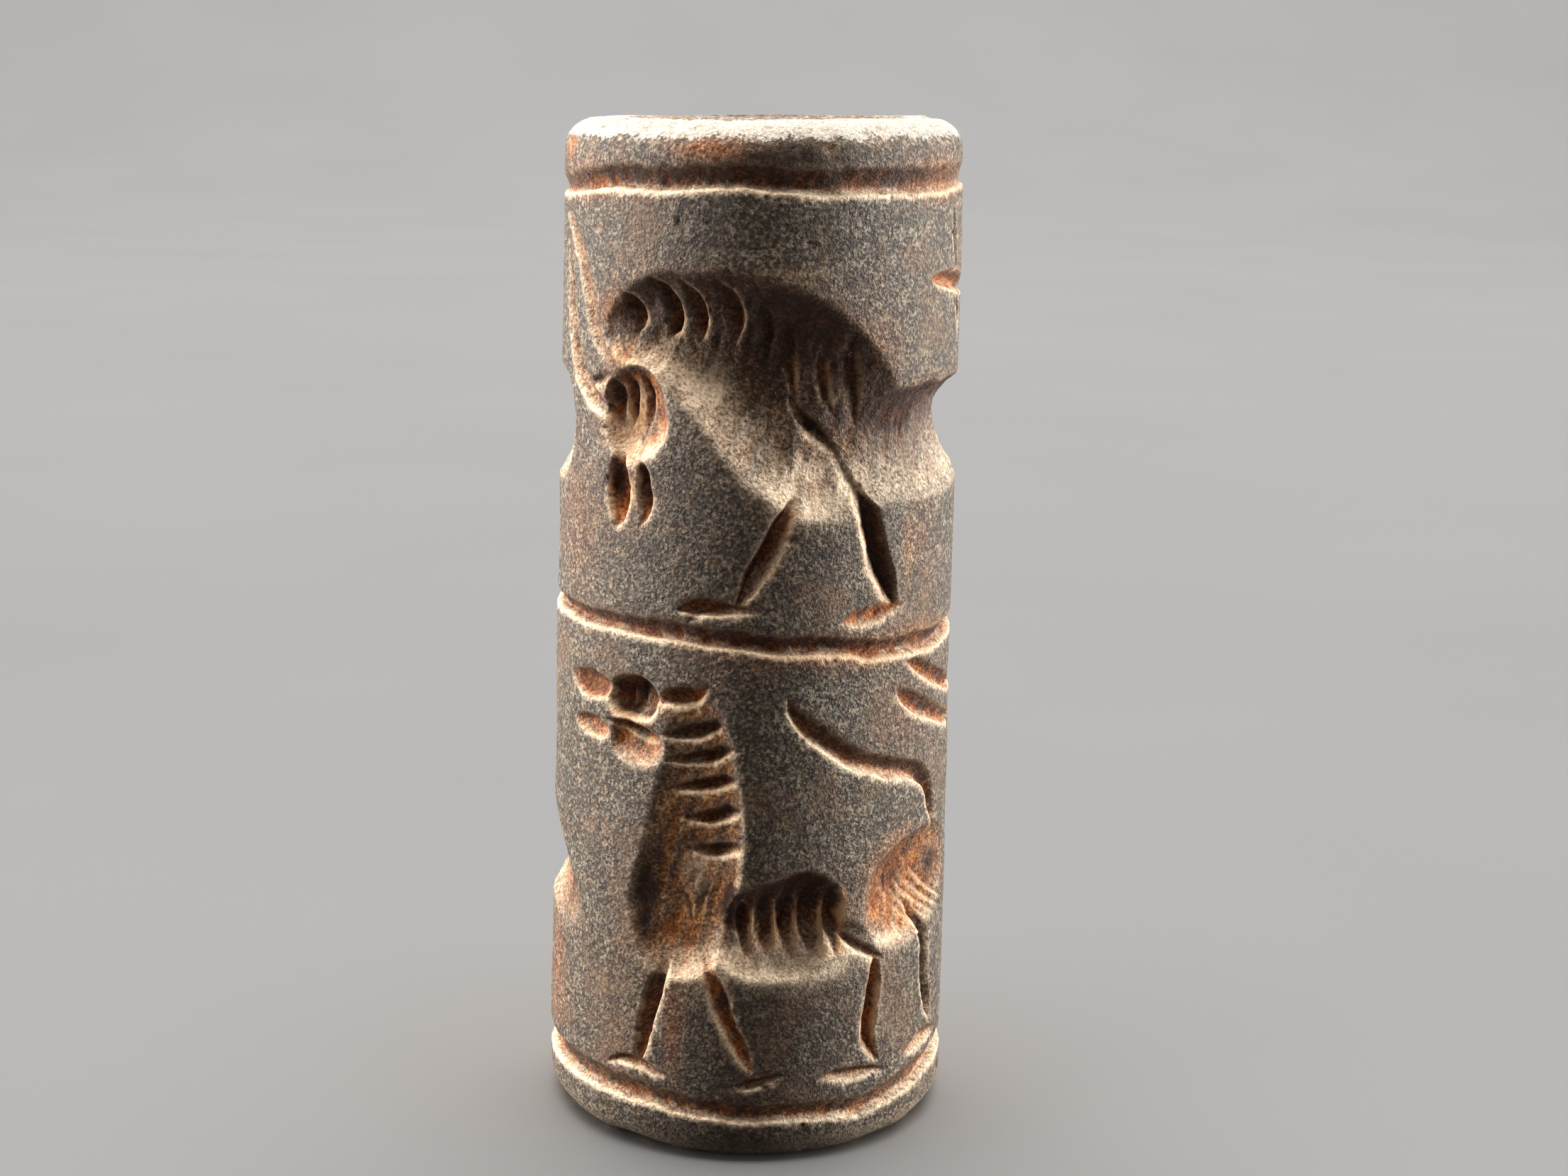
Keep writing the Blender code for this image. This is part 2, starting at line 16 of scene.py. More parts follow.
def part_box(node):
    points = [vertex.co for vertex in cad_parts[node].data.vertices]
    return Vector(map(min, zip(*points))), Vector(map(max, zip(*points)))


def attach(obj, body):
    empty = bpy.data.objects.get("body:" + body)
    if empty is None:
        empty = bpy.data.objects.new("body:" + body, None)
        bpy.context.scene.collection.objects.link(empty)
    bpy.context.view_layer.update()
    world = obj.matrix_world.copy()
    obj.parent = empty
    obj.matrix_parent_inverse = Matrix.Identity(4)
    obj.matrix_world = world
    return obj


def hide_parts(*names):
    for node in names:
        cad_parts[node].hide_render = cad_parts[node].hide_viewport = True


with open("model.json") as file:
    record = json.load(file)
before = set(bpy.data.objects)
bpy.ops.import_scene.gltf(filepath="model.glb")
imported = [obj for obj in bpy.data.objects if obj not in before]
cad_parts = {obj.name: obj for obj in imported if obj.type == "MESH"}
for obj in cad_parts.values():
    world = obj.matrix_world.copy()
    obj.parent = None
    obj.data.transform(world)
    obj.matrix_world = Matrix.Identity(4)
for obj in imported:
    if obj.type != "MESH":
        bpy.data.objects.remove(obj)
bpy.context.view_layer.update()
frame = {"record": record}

MM = 0.001
NODE = "seal_stone"
BAKE_MAP = "OFBake"

# sizes in millimetres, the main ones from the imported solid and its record
MOUNTS = {mount["name"]: mount for mount in frame["record"]["mounts"]}
NODE_LOW, NODE_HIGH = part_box(NODE)
HEIGHT = MOUNTS["top_end"]["pos_m"][2] / MM
FOOT_RADIUS = (NODE_HIGH.x - NODE_LOW.x) / 2 / MM
TAPER = 0.4
TOP_RADIUS = FOOT_RADIUS - TAPER
TOP_ROUNDING = 1.25
FOOT_ROUNDING = 1.25
MOUTH_RADIUS = 2.1
BORE_RADIUS = 1.75
MOUTH_DEPTH = 3.0
MOUTH_ROUNDING = 0.25
SLANT = -MOUNTS["top_end"]["axis"][0] / MOUNTS["top_end"]["axis"][2]
SLANT_FROM = 33.0
DRAWING_RADIUS = 7.65
ONCE_ROUND = 2 * math.pi * DRAWING_RADIUS
TOP_END, SIDE, FOOT_END, BORE = range(4)
FAR = 99.0      # stands for any distance too great to matter

# the tool marks: half width where a stroke runs out, how crisply two hollows meet, and the depths at which a
# hollow and a line take their earth, painted shade and painted highlight at full strength
THINNEST = 0.015
SHARPNESS = 6
FULL_HOLLOW = 0.35
FULL_LINE = 0.14
# what a stroke or patch can lay on: rust and ochre earth, painted shade kept to the cuts, a pale cream that
# is partly worn earth and partly painted highlight, and painted shade that darkens the stone itself
STAINS_AND_SHADING = ("rust", "ochre", "soot", "pale", "dim")

# the surface: a fine net of points, then thinned where the stone is plain
POINT_STEP = 0.05
COLUMNS = round(ONCE_ROUND / POINT_STEP)
TRIANGLES = 196_000


# ------------------------------------------------------------------ the cutting of the stone

def curve(stations, per_span=9):
    """A smooth curve through stations of any number of values."""
    p = np.array(stations, float)
    ends = np.vstack([2 * p[0] - p[1], p, 2 * p[-1] - p[-2]])
    points = []
    for a, b, c, d in zip(ends, ends[1:], ends[2:], ends[3:]):
        for t in np.arange(per_span) / per_span:
            bend = (2 * a - 5 * b + 4 * c - d) * t**2 + (3 * b - 3 * c + d - a) * t**3
            points.append(b + 0.5 * ((c - a) * t + bend))
    points.append(p[-1])
    return np.array(points)


class Carving:
    """How deep the tools have cut at each point of the side, the earth left there, and the shade and
    highlights painted there.
    """

    def __init__(self, around, up):
        self.around = around
        self.up = up
        self.hollow = np.zeros_like(up)
        self.line = np.zeros_like(up)
        self.left = {kind: np.zeros_like(up) for kind in STAINS_AND_SHADING}
        self.over = 0.0
        self.stretch = 1.0

    def from_middle(self, middle):
        """The way round from the given place, between half a turn left and half a turn right."""
        return (self.around - middle + ONCE_ROUND / 2) % ONCE_ROUND - ONCE_ROUND / 2

    def sweep(self, stations, fullness, lean, soft):
        """Depth of one stroke along stations (around, up, half width, depth).

        Fullness 1 is a vee and 2 a bowl. Lean moves the bed sideways, to the left of the
        stroke's way where it is positive, and the long side is eased in where soft is true.
        """
        path = curve(stations)
        path[:, 0] = self.over + self.stretch * path[:, 0]
        path[:, 2:] = np.maximum(path[:, 2:], THINNEST)
        middle = path[:, 0].mean()
        x = self.from_middle(middle) + middle
        reach = path[:, 2].max()
        near = (x > path[:, 0].min() - reach) & (x < path[:, 0].max() + reach)
        near &= (self.up > path[:, 1].min() - reach) & (self.up < path[:, 1].max() + reach)
        px, pz = x[near], self.up[near]
        away, across, deep = np.ones_like(px), np.zeros_like(px), np.zeros_like(px)
        for a, b in zip(path, path[1:]):
            widest = max(a[2], b[2])
            close = (px > min(a[0], b[0]) - widest) & (px < max(a[0], b[0]) + widest)
            close &= (pz > min(a[1], b[1]) - widest) & (pz < max(a[1], b[1]) + widest)
            close = np.flatnonzero(close)
            along, rise = b[:2] - a[:2]
            length = max(math.hypot(along, rise), 1e-6)
            qx, qz = px[close] - a[0], pz[close] - a[1]
            t = np.clip((qx * along + qz * rise) / length**2, 0, 1)
            gap = np.hypot(qx - t * along, qz - t * rise)
            here = gap / (a[2] + t * (b[2] - a[2]))
            nearer = here < away[close]
            close, t, gap = close[nearer], t[nearer], gap[nearer]
            away[close] = here[nearer]
            offset = (qz[nearer] * along - qx[nearer] * rise) / length
            across[close] = np.clip(offset / np.maximum(gap, 1e-9), -1, 1)
            deep[close] = a[3] + t * (b[3] - a[3])
        tilt = lean * np.abs(across)
        s = np.where(across < 0, -away, away)
        wall = np.clip(np.where(s < tilt, (1 + s) / (1 + tilt), (1 - s) / (1 - tilt)), 0, 1)
        shape = 1 - (1 - wall) ** fullness
        if soft:
            eased = np.abs(across) * ((s < tilt) == (lean > 0))
            shape += eased * (wall * wall * (3 - 2 * wall) - shape)
        whole = np.zeros_like(self.up)
        whole[near] = deep * shape
        return whole

    def leave(self, share, **left):
        """Earth, painted shade and painted highlight laid down, each of its own strength, where share is
        above nothing.
        """
        for kind, strength in left.items():
            self.left[kind] = np.maximum(self.left[kind], strength * np.clip(share, 0, 1))

    def gouge(self, *stations, fullness=2.2, lean=0.0, soft=False, **left):
        """A broad hollow. Hollows that overlap run into each other."""
        cut = self.sweep(stations, fullness, lean, soft)
        self.hollow = (self.hollow**SHARPNESS + cut**SHARPNESS) ** (1 / SHARPNESS)
        self.leave(cut / FULL_HOLLOW, **left)

    def groove(self, *stations, fullness=1.5, lean=0.0, soft=False, **left):
        """A line cut into whatever surface is there."""
        cut = self.sweep(stations, fullness, lean, soft)
        self.line = np.maximum(self.line, cut)
        self.leave(cut / FULL_LINE, **left)

    def ring(self, *stations, **how):
        """A line all the way round, carried past its own beginning so that it closes."""
        first, second, last = stations[0], stations[1], stations[-1]
        before = (last[0] - ONCE_ROUND, *last[1:])
        after = [(x + ONCE_ROUND, *rest) for x, *rest in (first, second)]
        self.groove(before, *stations, *after, **how)

    def smear(self, *stations, **left):
        """Earth, painted shade and painted highlight, in the kinds given, laid along one side of a cut."""
        self.leave(2.0 * self.sweep(stations, 2.0, 0.0, False), **left)

    def nick(self, x, z, size, deep):
        """A small chip knocked out of the surface."""
        spot = np.exp(-((self.from_middle(x) / size) ** 2 + ((self.up - z) / (0.7 * size)) ** 2))
        self.line = self.line + deep * spot
        self.leave(spot, ochre=0.5)

    def stain(self, x, z, wide, high, **left):
        """Earth that has soaked into the stone, painted shade and painted highlight, in the kinds given, in a
        soft patch.
        """
        self.leave(np.exp(-((self.from_middle(x) / wide) ** 2 + ((self.up - z) / high) ** 2)), **left)


def border_lines(carving):
    """Three rings: under the upper end, between the rows and above the foot."""
    half_round = ONCE_ROUND / 2
    carving.ring(
        (-half_round, 36.42, 0.42, 0.42), (-17.0, 36.3, 0.44, 0.40), (-12.0, 36.05, 0.40, 0.22),
        (-10.0, 36.02, 0.40, 0.20), (-8.0, 36.24, 0.42, 0.34), (-6.0, 36.36, 0.44, 0.46),
        (-4.0, 36.42, 0.46, 0.50), (-2.4, 36.50, 0.45, 0.52), (-1.0, 36.60, 0.42, 0.50),
        (0.2, 36.50, 0.46, 0.54), (2.0, 36.40, 0.48, 0.56), (4.0, 36.44, 0.46, 0.52),
        (6.0, 36.40, 0.46, 0.48), (8.0, 36.42, 0.46, 0.34), (10.0, 36.45, 0.42, 0.20),
        (13.0, 36.5, 0.40, 0.22), (18.0, 36.55, 0.44, 0.40),
        fullness=1.8, lean=-0.66, rust=0.5, soot=0.14)
    # pale cream on the lower lip of the upper ring, partly worn earth and partly painted highlight
    carving.smear(
        (-7.0, 35.86, 0.06, 0.3), (-4.0, 35.96, 0.12, 0.5), (-2.4, 36.05, 0.13, 0.5),
        (-1.0, 36.18, 0.13, 0.5), (0.2, 36.04, 0.14, 0.5), (2.0, 35.92, 0.14, 0.5),
        (4.0, 35.98, 0.13, 0.5), (6.5, 35.94, 0.06, 0.3), pale=1.6)
    carving.stain(7.8, 36.4, 2.0, 0.6, rust=1.0)
    carving.stain(-7.5, 36.2, 2.2, 0.6, rust=0.8)
    carving.ring(
        (-half_round, 20.0, 0.34, 0.38), (-17.0, 20.25, 0.34, 0.38), (-12.0, 20.3, 0.34, 0.38),
        (-8.0, 20.33, 0.36, 0.40), (-4.0, 20.34, 0.38, 0.44), (-2.0, 20.30, 0.37, 0.45),
        (-0.6, 20.14, 0.39, 0.48), (0.6, 19.99, 0.39, 0.48), (2.0, 19.92, 0.38, 0.48),
        (4.0, 19.78, 0.38, 0.46), (6.0, 19.64, 0.38, 0.46), (8.0, 19.55, 0.38, 0.42),
        (10.0, 19.6, 0.36, 0.40), (14.0, 19.8, 0.34, 0.38), (19.0, 19.9, 0.34, 0.38),
        fullness=1.8, lean=-0.6, rust=0.7, soot=0.25)
    carving.stain(5.5, 19.65, 5.0, 0.5, rust=1.0)
    carving.ring(
        (-half_round, 2.2, 0.46, 0.34), (-14.0, 2.3, 0.48, 0.36), (-10.0, 2.45, 0.50, 0.38),
        (-7.0, 2.50, 0.50, 0.38), (-5.0, 2.44, 0.48, 0.38), (-3.0, 2.32, 0.44, 0.36),
        (-1.0, 2.2, 0.40, 0.34), (1.0, 2.1, 0.38, 0.32), (3.0, 2.06, 0.38, 0.32),
        (5.0, 1.94, 0.42, 0.32), (7.0, 2.2, 0.48, 0.34), (9.0, 2.5, 0.48, 0.36),
        (12.0, 2.5, 0.46, 0.36), (17.0, 2.3, 0.46, 0.34),
        fullness=1.9, lean=-0.76, rust=0.4, ochre=0.3)


def goat_body(carving, horns=True, tail_end=True):
    """Neck and body in one arched sweep, then the rump, the head and two horns laid back."""
    carving.gouge(
        (-5.7, 30.85, 0.6, 0.25), (-5.2, 31.05, 1.05, 0.45), (-4.2, 31.25, 1.6, 0.75),
        (-2.7, 31.2, 2.0, 0.98), (-0.9, 30.55, 2.7, 1.15), (0.6, 29.6, 3.2, 1.25),
        (1.8, 28.55, 3.45, 1.15), (2.5, 27.9, 3.4, 0.95), fullness=2.3, lean=-0.14, rust=0.15, ochre=0.12)
    rump = [(2.6, 27.0, 1.7, 0.8), (4.2, 27.1, 2.05, 0.88), (6.0, 27.1, 2.1, 0.9),
            (8.0, 27.15, 2.1, 0.92), (10.0, 27.2, 2.05, 0.95), (12.0, 27.3, 1.95, 0.95),
            (13.6, 27.4, 1.8, 0.85), (14.8, 27.5, 1.4, 0.4)]
    carving.gouge(*(rump if tail_end else rump[:4]), fullness=2.2, lean=0.32, rust=0.12)
    carving.gouge(
        (-4.85, 28.5, 1.36, 0.72), (-4.82, 27.8, 1.42, 0.82), (-4.85, 27.55, 1.3, 0.7),
        fullness=2.7, rust=0.9)
    if tail_end:
        # painted shade over the haunch, the back and the mane, with some rust
        carving.stain(1.2, 31.2, 2.2, 1.5, soot=1.0)
        carving.stain(3.8, 30.2, 1.7, 1.5, soot=0.6, rust=0.5)
        carving.stain(-2.0, 32.4, 3.0, 0.9, soot=0.35, rust=0.45)
        carving.stain(-5.6, 31.5, 0.9, 0.7, soot=0.8, rust=0.8, dim=0.6)
    carving.groove(
        (-7.2, 28.95, 0.06, 0.04), (-6.7, 29.1, 0.26, 0.22), (-6.2, 29.35, 0.2, 0.1),
        (-5.9, 29.5, 0.06, 0.03), lean=0.3, rust=0.5, soot=0.8)
    if not horns:
        return
    carving.groove(
        (-6.2, 30.1, 0.25, 0.06), (-6.9, 30.95, 0.34, 0.16), (-7.5, 32.3, 0.40, 0.19),
        (-8.2, 33.6, 0.40, 0.19), (-8.9, 34.5, 0.34, 0.17), (-9.7, 35.1, 0.15, 0.1),
        fullness=1.9, lean=0.3, soft=True, rust=0.25, ochre=0.5)
    carving.groove(
        (-6.05, 28.1, 0.3, 0.22), (-6.9, 28.45, 0.44, 0.34), (-7.8, 29.15, 0.5, 0.36),
        (-8.45, 30.1, 0.48, 0.32), (-8.9, 31.2, 0.44, 0.26), (-9.25, 32.6, 0.36, 0.2),
        (-9.5, 34.2, 0.12, 0.08), fullness=1.9, lean=0.25, soft=True, rust=0.25, ochre=0.6)


def goat_legs(carving):
    """Two striding legs with their hooves, and the beard of two leaf-shaped cuts."""
    carving.groove(
        (-5.42, 26.45, 0.2, 0.1), (-5.42, 25.9, 0.46, 0.5), (-5.40, 25.1, 0.58, 0.62),
        (-5.40, 24.45, 0.42, 0.44), (-5.5, 23.85, 0.08, 0.05), fullness=2.2, lean=0.45, rust=0.95)
    carving.groove(
        (-4.5, 26.35, 0.12, 0.06), (-4.28, 25.9, 0.28, 0.36), (-4.2, 25.2, 0.34, 0.44),
        (-4.24, 24.6, 0.24, 0.3), (-4.45, 24.05, 0.06, 0.04), fullness=2.0, lean=0.5, rust=0.8)
    # painted shade and some rust along the first leg's cuts, then a pale patch that is partly painted
    # highlight
    carving.smear((-4.78, 26.3, 0.1, 0.3), (-4.72, 25.3, 0.16, 0.5), (-4.75, 24.4, 0.1, 0.3),
                  rust=0.7, dim=0.8)
    carving.smear((-5.6, 26.2, 0.25, 0.3), (-5.7, 25.5, 0.34, 0.5), (-5.75, 24.9, 0.2, 0.3), soot=0.75)
    carving.smear((-4.3, 26.1, 0.2, 0.3), (-4.3, 25.4, 0.28, 0.5), (-4.35, 24.8, 0.15, 0.3), soot=0.75)
    carving.stain(2.3, 25.6, 1.1, 0.5, pale=1.8, rust=0.4)
    carving.groove(
        (1.55, 25.1, 0.22, 0.12), (1.2, 24.6, 0.38, 0.44), (0.62, 23.5, 0.44, 0.56),
        (0.05, 22.4, 0.42, 0.50), (-0.45, 21.4, 0.14, 0.14), fullness=1.6, lean=-0.4, rust=0.6)
    carving.groove(
        (-2.8, 21.1, 0.05, 0.04), (-2.1, 21.28, 0.32, 0.42), (-1.3, 21.33, 0.36, 0.48),
        (-0.5, 21.28, 0.22, 0.32), (0.25, 21.18, 0.06, 0.05), fullness=1.9, lean=-0.55, rust=0.75)
    carving.groove(
        (1.3, 29.0, 0.05, 0.03), (1.7, 28.4, 0.22, 0.16), (2.1, 27.9, 0.36, 0.36),
        (2.6, 27.5, 0.36, 0.32), (3.1, 26.95, 0.24, 0.12), (3.5, 26.3, 0.24, 0.08),
        (3.95, 25.4, 0.34, 0.20),
        (4.37, 24.5, 0.52, 0.56), (4.74, 23.3, 0.58, 0.68), (5.25, 22.0, 0.52, 0.56),
        (5.52, 21.4, 0.34, 0.3), (5.85, 20.95, 0.08, 0.05), fullness=1.45, lean=0.5, rust=0.3)
    # painted shade along the haunch line and the hind leg, and pale cream with rust on their lit crests, the
    # cream partly painted highlight
    carving.smear((1.9, 28.2, 0.15, 0.3), (2.3, 27.85, 0.26, 0.5), (2.8, 27.45, 0.15, 0.3), soot=1.0)
    carving.smear((3.1, 27.0, 0.2, 0.2), (3.6, 26.4, 0.22, 0.2), (4.1, 25.5, 0.22, 0.2), soot=0.5)
    carving.smear((4.2, 25.2, 0.2, 0.5), (4.55, 24.7, 0.34, 0.8), (4.98, 23.8, 0.46, 1.0),
                  (5.35, 22.8, 0.46, 1.0), (5.65, 22.0, 0.34, 1.0), (5.8, 21.3, 0.12, 0.5), soot=1.0)
    carving.smear((3.75, 25.2, 0.12, 0.3), (4.0, 24.3, 0.2, 0.5), (4.3, 23.3, 0.24, 0.5),
                  (4.8, 22.2, 0.26, 0.5), (5.2, 21.5, 0.1, 0.3), pale=0.8, rust=0.5)
    carving.smear((1.65, 24.7, 0.12, 0.3), (0.98, 23.5, 0.18, 0.5), (0.4, 22.4, 0.2, 0.5),
                  (-0.1, 21.6, 0.12, 0.3), pale=0.7, rust=0.5)
    carving.smear((1.2, 24.8, 0.2, 0.3), (0.5, 23.6, 0.34, 0.5), (-0.1, 22.4, 0.3, 0.5),
                  (-0.4, 21.6, 0.12, 0.3), soot=0.3)
    carving.groove(
        (3.5, 20.72, 0.14, 0.08), (4.2, 20.86, 0.34, 0.36), (5.0, 20.98, 0.33, 0.38),
        (5.7, 21.1, 0.2, 0.24), (6.2, 21.2, 0.05, 0.04), fullness=1.8, lean=-0.35, rust=1.0)


def goat_strokes(carving):
    """The bowed strokes of mane and ribs, and the ridges inside the head."""
    rows = (
        ((-5.6, 32.4), (-5.25, 31.95), (-5.05, 31.4), (-5.12, 30.8), 0.32, 0.24),
        ((-4.3, 32.8), (-3.82, 32.2), (-3.6, 31.5), (-3.7, 30.8), 0.42, 0.34),
        ((-3.05, 32.9), (-2.6, 32.2), (-2.45, 31.5), (-2.55, 30.8), 0.38, 0.32),
        ((-1.6, 32.8), (-1.12, 32.2), (-0.98, 31.5), (-1.1, 30.6), 0.42, 0.32),
        ((0.15, 32.0), (0.3, 31.4), (0.35, 30.9), (0.3, 30.2), 0.34, 0.24),
        ((1.15, 31.6), (1.3, 30.6), (1.4, 29.8), (1.5, 29.0), 0.32, 0.20),
        ((2.5, 30.4), (2.65, 29.6), (2.8, 29.0), (3.1, 28.3), 0.32, 0.22),
        ((3.6, 31.0), (3.7, 29.9), (3.9, 28.9), (4.25, 27.7), 0.38, 0.24),
    )
    for first, second, third, last, half, deep in rows:
        carving.groove((*first, 0.3 * half, 0.03), (*second, half, deep), (*third, half, 0.9 * deep),
                       (*last, 0.3 * half, 0.03), fullness=1.7, lean=0.7, soft=True,
                       rust=0.9, soot=0.45)
        (xa, za), (xb, zb), (xc, zc), (xd, zd) = first, second, third, last
        # rust and pale cream along the right crest of each stroke, the cream partly painted highlight
        carving.smear((xa + 0.7 * half, za, 0.04, 0.2), (xb + half, zb, 0.09, 0.5),
                      (xc + half, zc, 0.11, 0.5), (xd + 0.5 * half, zd, 0.06, 0.3), rust=1.0, pale=0.7)
    for first, second, third, half, deep in (
        ((-5.95, 29.4), (-5.9, 28.5), (-5.8, 27.4), 0.30, 0.26),
        ((-5.45, 29.6), (-5.35, 28.6), (-5.3, 27.5), 0.24, 0.24),
        ((-4.9, 29.5), (-4.55, 28.5), (-4.6, 27.4), 0.24, 0.22),
    ):
        carving.groove((*first, 0.3 * half, 0.04), (*second, half, deep), (*third, 0.4 * half, 0.04),
                       fullness=1.8, lean=0.35, rust=0.95)
    # painted shade down the slots in the head
    for top, low, half in ((-5.9, -5.8, 0.34), (-5.4, -5.3, 0.16), (-4.8, -4.5, 0.14)):
        carving.smear((top, 29.5, 0.5 * half, 0.3), (low, 28.6, half, 0.5), (low, 27.7, 0.5 * half, 0.2),
                      soot=0.6)
    carving.stain(-5.3, 28.5, 1.0, 1.1, rust=1.0)
    # rust and pale cream on the head's ridges and below the head, the cream partly painted highlight
    for top, low in ((-5.7, -5.55), (-5.05, -4.9)):
        carving.smear((top, 29.3, 0.08, 0.4), (0.5 * (top + low), 28.5, 0.18, 0.6), (low, 27.6, 0.14, 0.5),
                      rust=1.4, pale=1.2)
    carving.stain(-4.9, 27.5, 0.9, 0.6, rust=1.3, pale=0.4)
    carving.stain(-5.4, 30.15, 0.7, 0.4, rust=0.9, ochre=0.5)
    carving.smear((-6.0, 27.3, 0.2, 0.3), (-5.3, 26.85, 0.3, 0.5), (-4.5, 26.8, 0.3, 0.5),
                  (-3.8, 27.3, 0.15, 0.3), pale=0.5, rust=0.6)


def beast_head(carving):
    """Two sunk rounds for head and jaw, the slit of the mouth and a leaf-shaped ear."""
    carving.gouge((-5.0, 17.6, 0.78, 0.76), (-4.6, 17.62, 0.84, 0.90), (-4.25, 17.6, 0.78, 0.80),
                  fullness=4.0, lean=-0.1, rust=0.9)
    carving.gouge((-4.9, 16.05, 0.85, 0.46), (-4.4, 15.95, 0.92, 0.54), (-4.05, 16.0, 0.8, 0.46),
                  fullness=2.2, rust=1.0)
    carving.groove((-5.75, 16.62, 0.1, 0.06), (-5.0, 16.5, 0.24, 0.30), (-4.2, 16.3, 0.26, 0.34),
                   (-3.4, 16.15, 0.1, 0.06), lean=-0.4, rust=0.8)
    for x in (-5.25, -4.95, -4.62, -4.3, -4.02):
        carving.groove((x, 18.2, 0.05, 0.02), (x + 0.04, 17.7, 0.11, 0.06), (x + 0.02, 17.1, 0.05, 0.02),
                       lean=0.3, rust=0.9)
    carving.groove((-3.5, 17.7, 0.12, 0.1), (-2.8, 17.88, 0.38, 0.38), (-2.1, 18.02, 0.38, 0.40),
                   (-1.45, 18.36, 0.06, 0.05), fullness=2.0, lean=-0.4, rust=0.9)
    # painted shade along the ear and between head and jaw, with rust and ochre
    carving.smear((-3.3, 18.0, 0.1, 0.3), (-2.7, 18.12, 0.24, 0.5), (-1.8, 18.2, 0.15, 0.4), soot=0.5)
    carving.stain(-2.4, 17.3, 0.8, 0.35, ochre=0.9)
    carving.smear((-5.7, 16.9, 0.1, 0.3), (-4.7, 16.92, 0.2, 0.5), (-3.5, 17.05, 0.1, 0.3),
                  rust=1.0, ochre=0.5, soot=0.7)


def beast_body(carving, rump=True):
    """Ringed neck and chest in one sweep, then belly and rump, each a hollow of its own."""
    carving.gouge(
        (-2.05, 17.3, 0.95, 0.22), (-1.9, 16.0, 1.3, 0.34), (-1.85, 15.0, 1.48, 0.40),
        (-1.98, 14.0, 1.73, 0.46), (-2.0, 13.0, 1.9, 0.54), (-2.1, 12.0, 2.0, 0.62),
        (-2.32, 11.0, 2.1, 0.72), (-2.5, 10.0, 2.15, 0.80), (-2.6, 9.1, 1.95, 0.74),
        fullness=2.5, lean=0.42, rust=0.35, ochre=0.6)
    carving.gouge(
        (0.45, 9.05, 1.8, 0.66), (1.3, 9.25, 1.95, 0.80), (2.0, 9.6, 1.8, 0.80),
        fullness=3.2, lean=0.1, rust=0.15)
    carving.gouge((2.6, 8.95, 1.0, 0.3), (3.6, 8.9, 0.72, 0.22), (4.6, 8.6, 0.52, 0.12), rust=0.1)
    if not rump:
        return
    carving.gouge(
        (5.9, 9.75, 1.4, 0.42), (6.6, 9.85, 2.0, 0.66), (7.4, 10.05, 2.1, 0.72),
        (8.4, 10.5, 1.7, 0.5), (9.2, 11.0, 1.0, 0.2), fullness=2.2, lean=0.2, rust=0.8, ochre=0.8)


def beast_legs(carving, tail=True):
    """Four thin legs on their hooves, and the long tail that drops behind."""
    carving.groove(
        (-3.15, 7.5, 0.28, 0.12), (-3.4, 6.6, 0.36, 0.42), (-3.74, 5.3, 0.34, 0.46),
        (-4.02, 4.2, 0.28, 0.38), (-4.12, 3.6, 0.14, 0.12), fullness=1.8, lean=0.6, rust=0.5)
    carving.groove(
        (-5.65, 3.2, 0.04, 0.03), (-4.9, 3.5, 0.2, 0.28), (-4.2, 3.52, 0.28, 0.34),
        (-3.5, 3.36, 0.2, 0.24), (-2.9, 3.28, 0.05, 0.04), fullness=1.8, lean=-0.35, rust=0.6)
    carving.groove(
        (-1.42, 7.8, 0.28, 0.12), (-1.02, 6.7, 0.36, 0.36), (-0.52, 5.5, 0.34, 0.40),
        (-0.02, 4.4, 0.28, 0.34), (0.28, 3.75, 0.12, 0.12), fullness=1.8, lean=-0.35, rust=1.0)
    carving.groove(
        (-0.45, 3.12, 0.05, 0.04), (0.2, 3.22, 0.2, 0.28), (0.8, 3.36, 0.18, 0.26),
        (1.45, 3.55, 0.04, 0.03), fullness=1.7, lean=-0.4, rust=0.4)
    carving.groove(
        (3.45, 9.2, 0.05, 0.05), (4.0, 8.7, 0.20, 0.28), (4.8, 8.1, 0.24, 0.34),
        (5.5, 7.72, 0.12, 0.12), fullness=1.7, lean=-0.5, rust=0.3)
    carving.groove(
        (5.22, 7.75, 0.18, 0.14), (5.15, 6.6, 0.36, 0.42), (5.0, 5.3, 0.37, 0.46),
        (4.95, 4.4, 0.34, 0.40), (5.3, 3.6, 0.12, 0.1), fullness=1.5, lean=0.3, rust=0.8)
    carving.groove(
        (2.95, 3.3, 0.08, 0.05), (3.6, 3.34, 0.24, 0.3), (4.6, 3.3, 0.24, 0.3),
        (5.3, 3.18, 0.12, 0.15), (5.95, 2.95, 0.03, 0.03), fullness=1.8, lean=-0.35, rust=0.45)
    if not tail:
        return
    carving.groove(
        (7.45, 9.3, 0.08, 0.05), (8.05, 8.4, 0.30, 0.38), (8.25, 7.2, 0.33, 0.42),
        (8.4, 5.8, 0.35, 0.42), (8.65, 4.8, 0.32, 0.38), (9.0, 3.95, 0.08, 0.06),
        fullness=1.7, lean=-0.3, rust=0.3)
    carving.groove(
        (6.9, 3.15, 0.08, 0.05), (7.7, 3.42, 0.28, 0.26), (8.5, 3.62, 0.3, 0.28),
        (9.4, 3.5, 0.1, 0.08), fullness=1.7, lean=-0.3, rust=0.4, ochre=0.3)
    carving.groove(
        (1.45, 18.05, 0.06, 0.05), (1.75, 17.4, 0.26, 0.3), (2.4, 16.65, 0.38, 0.42),
        (3.6, 15.9, 0.42, 0.48), (5.0, 15.25, 0.44, 0.48), (6.4, 14.78, 0.44, 0.48),
        (7.5, 14.45, 0.40, 0.44), (8.2, 13.85, 0.38, 0.46), (8.6, 13.0, 0.38, 0.46),
        (8.95, 12.1, 0.14, 0.12), fullness=1.8, lean=-0.4, rust=0.4, ochre=0.3)


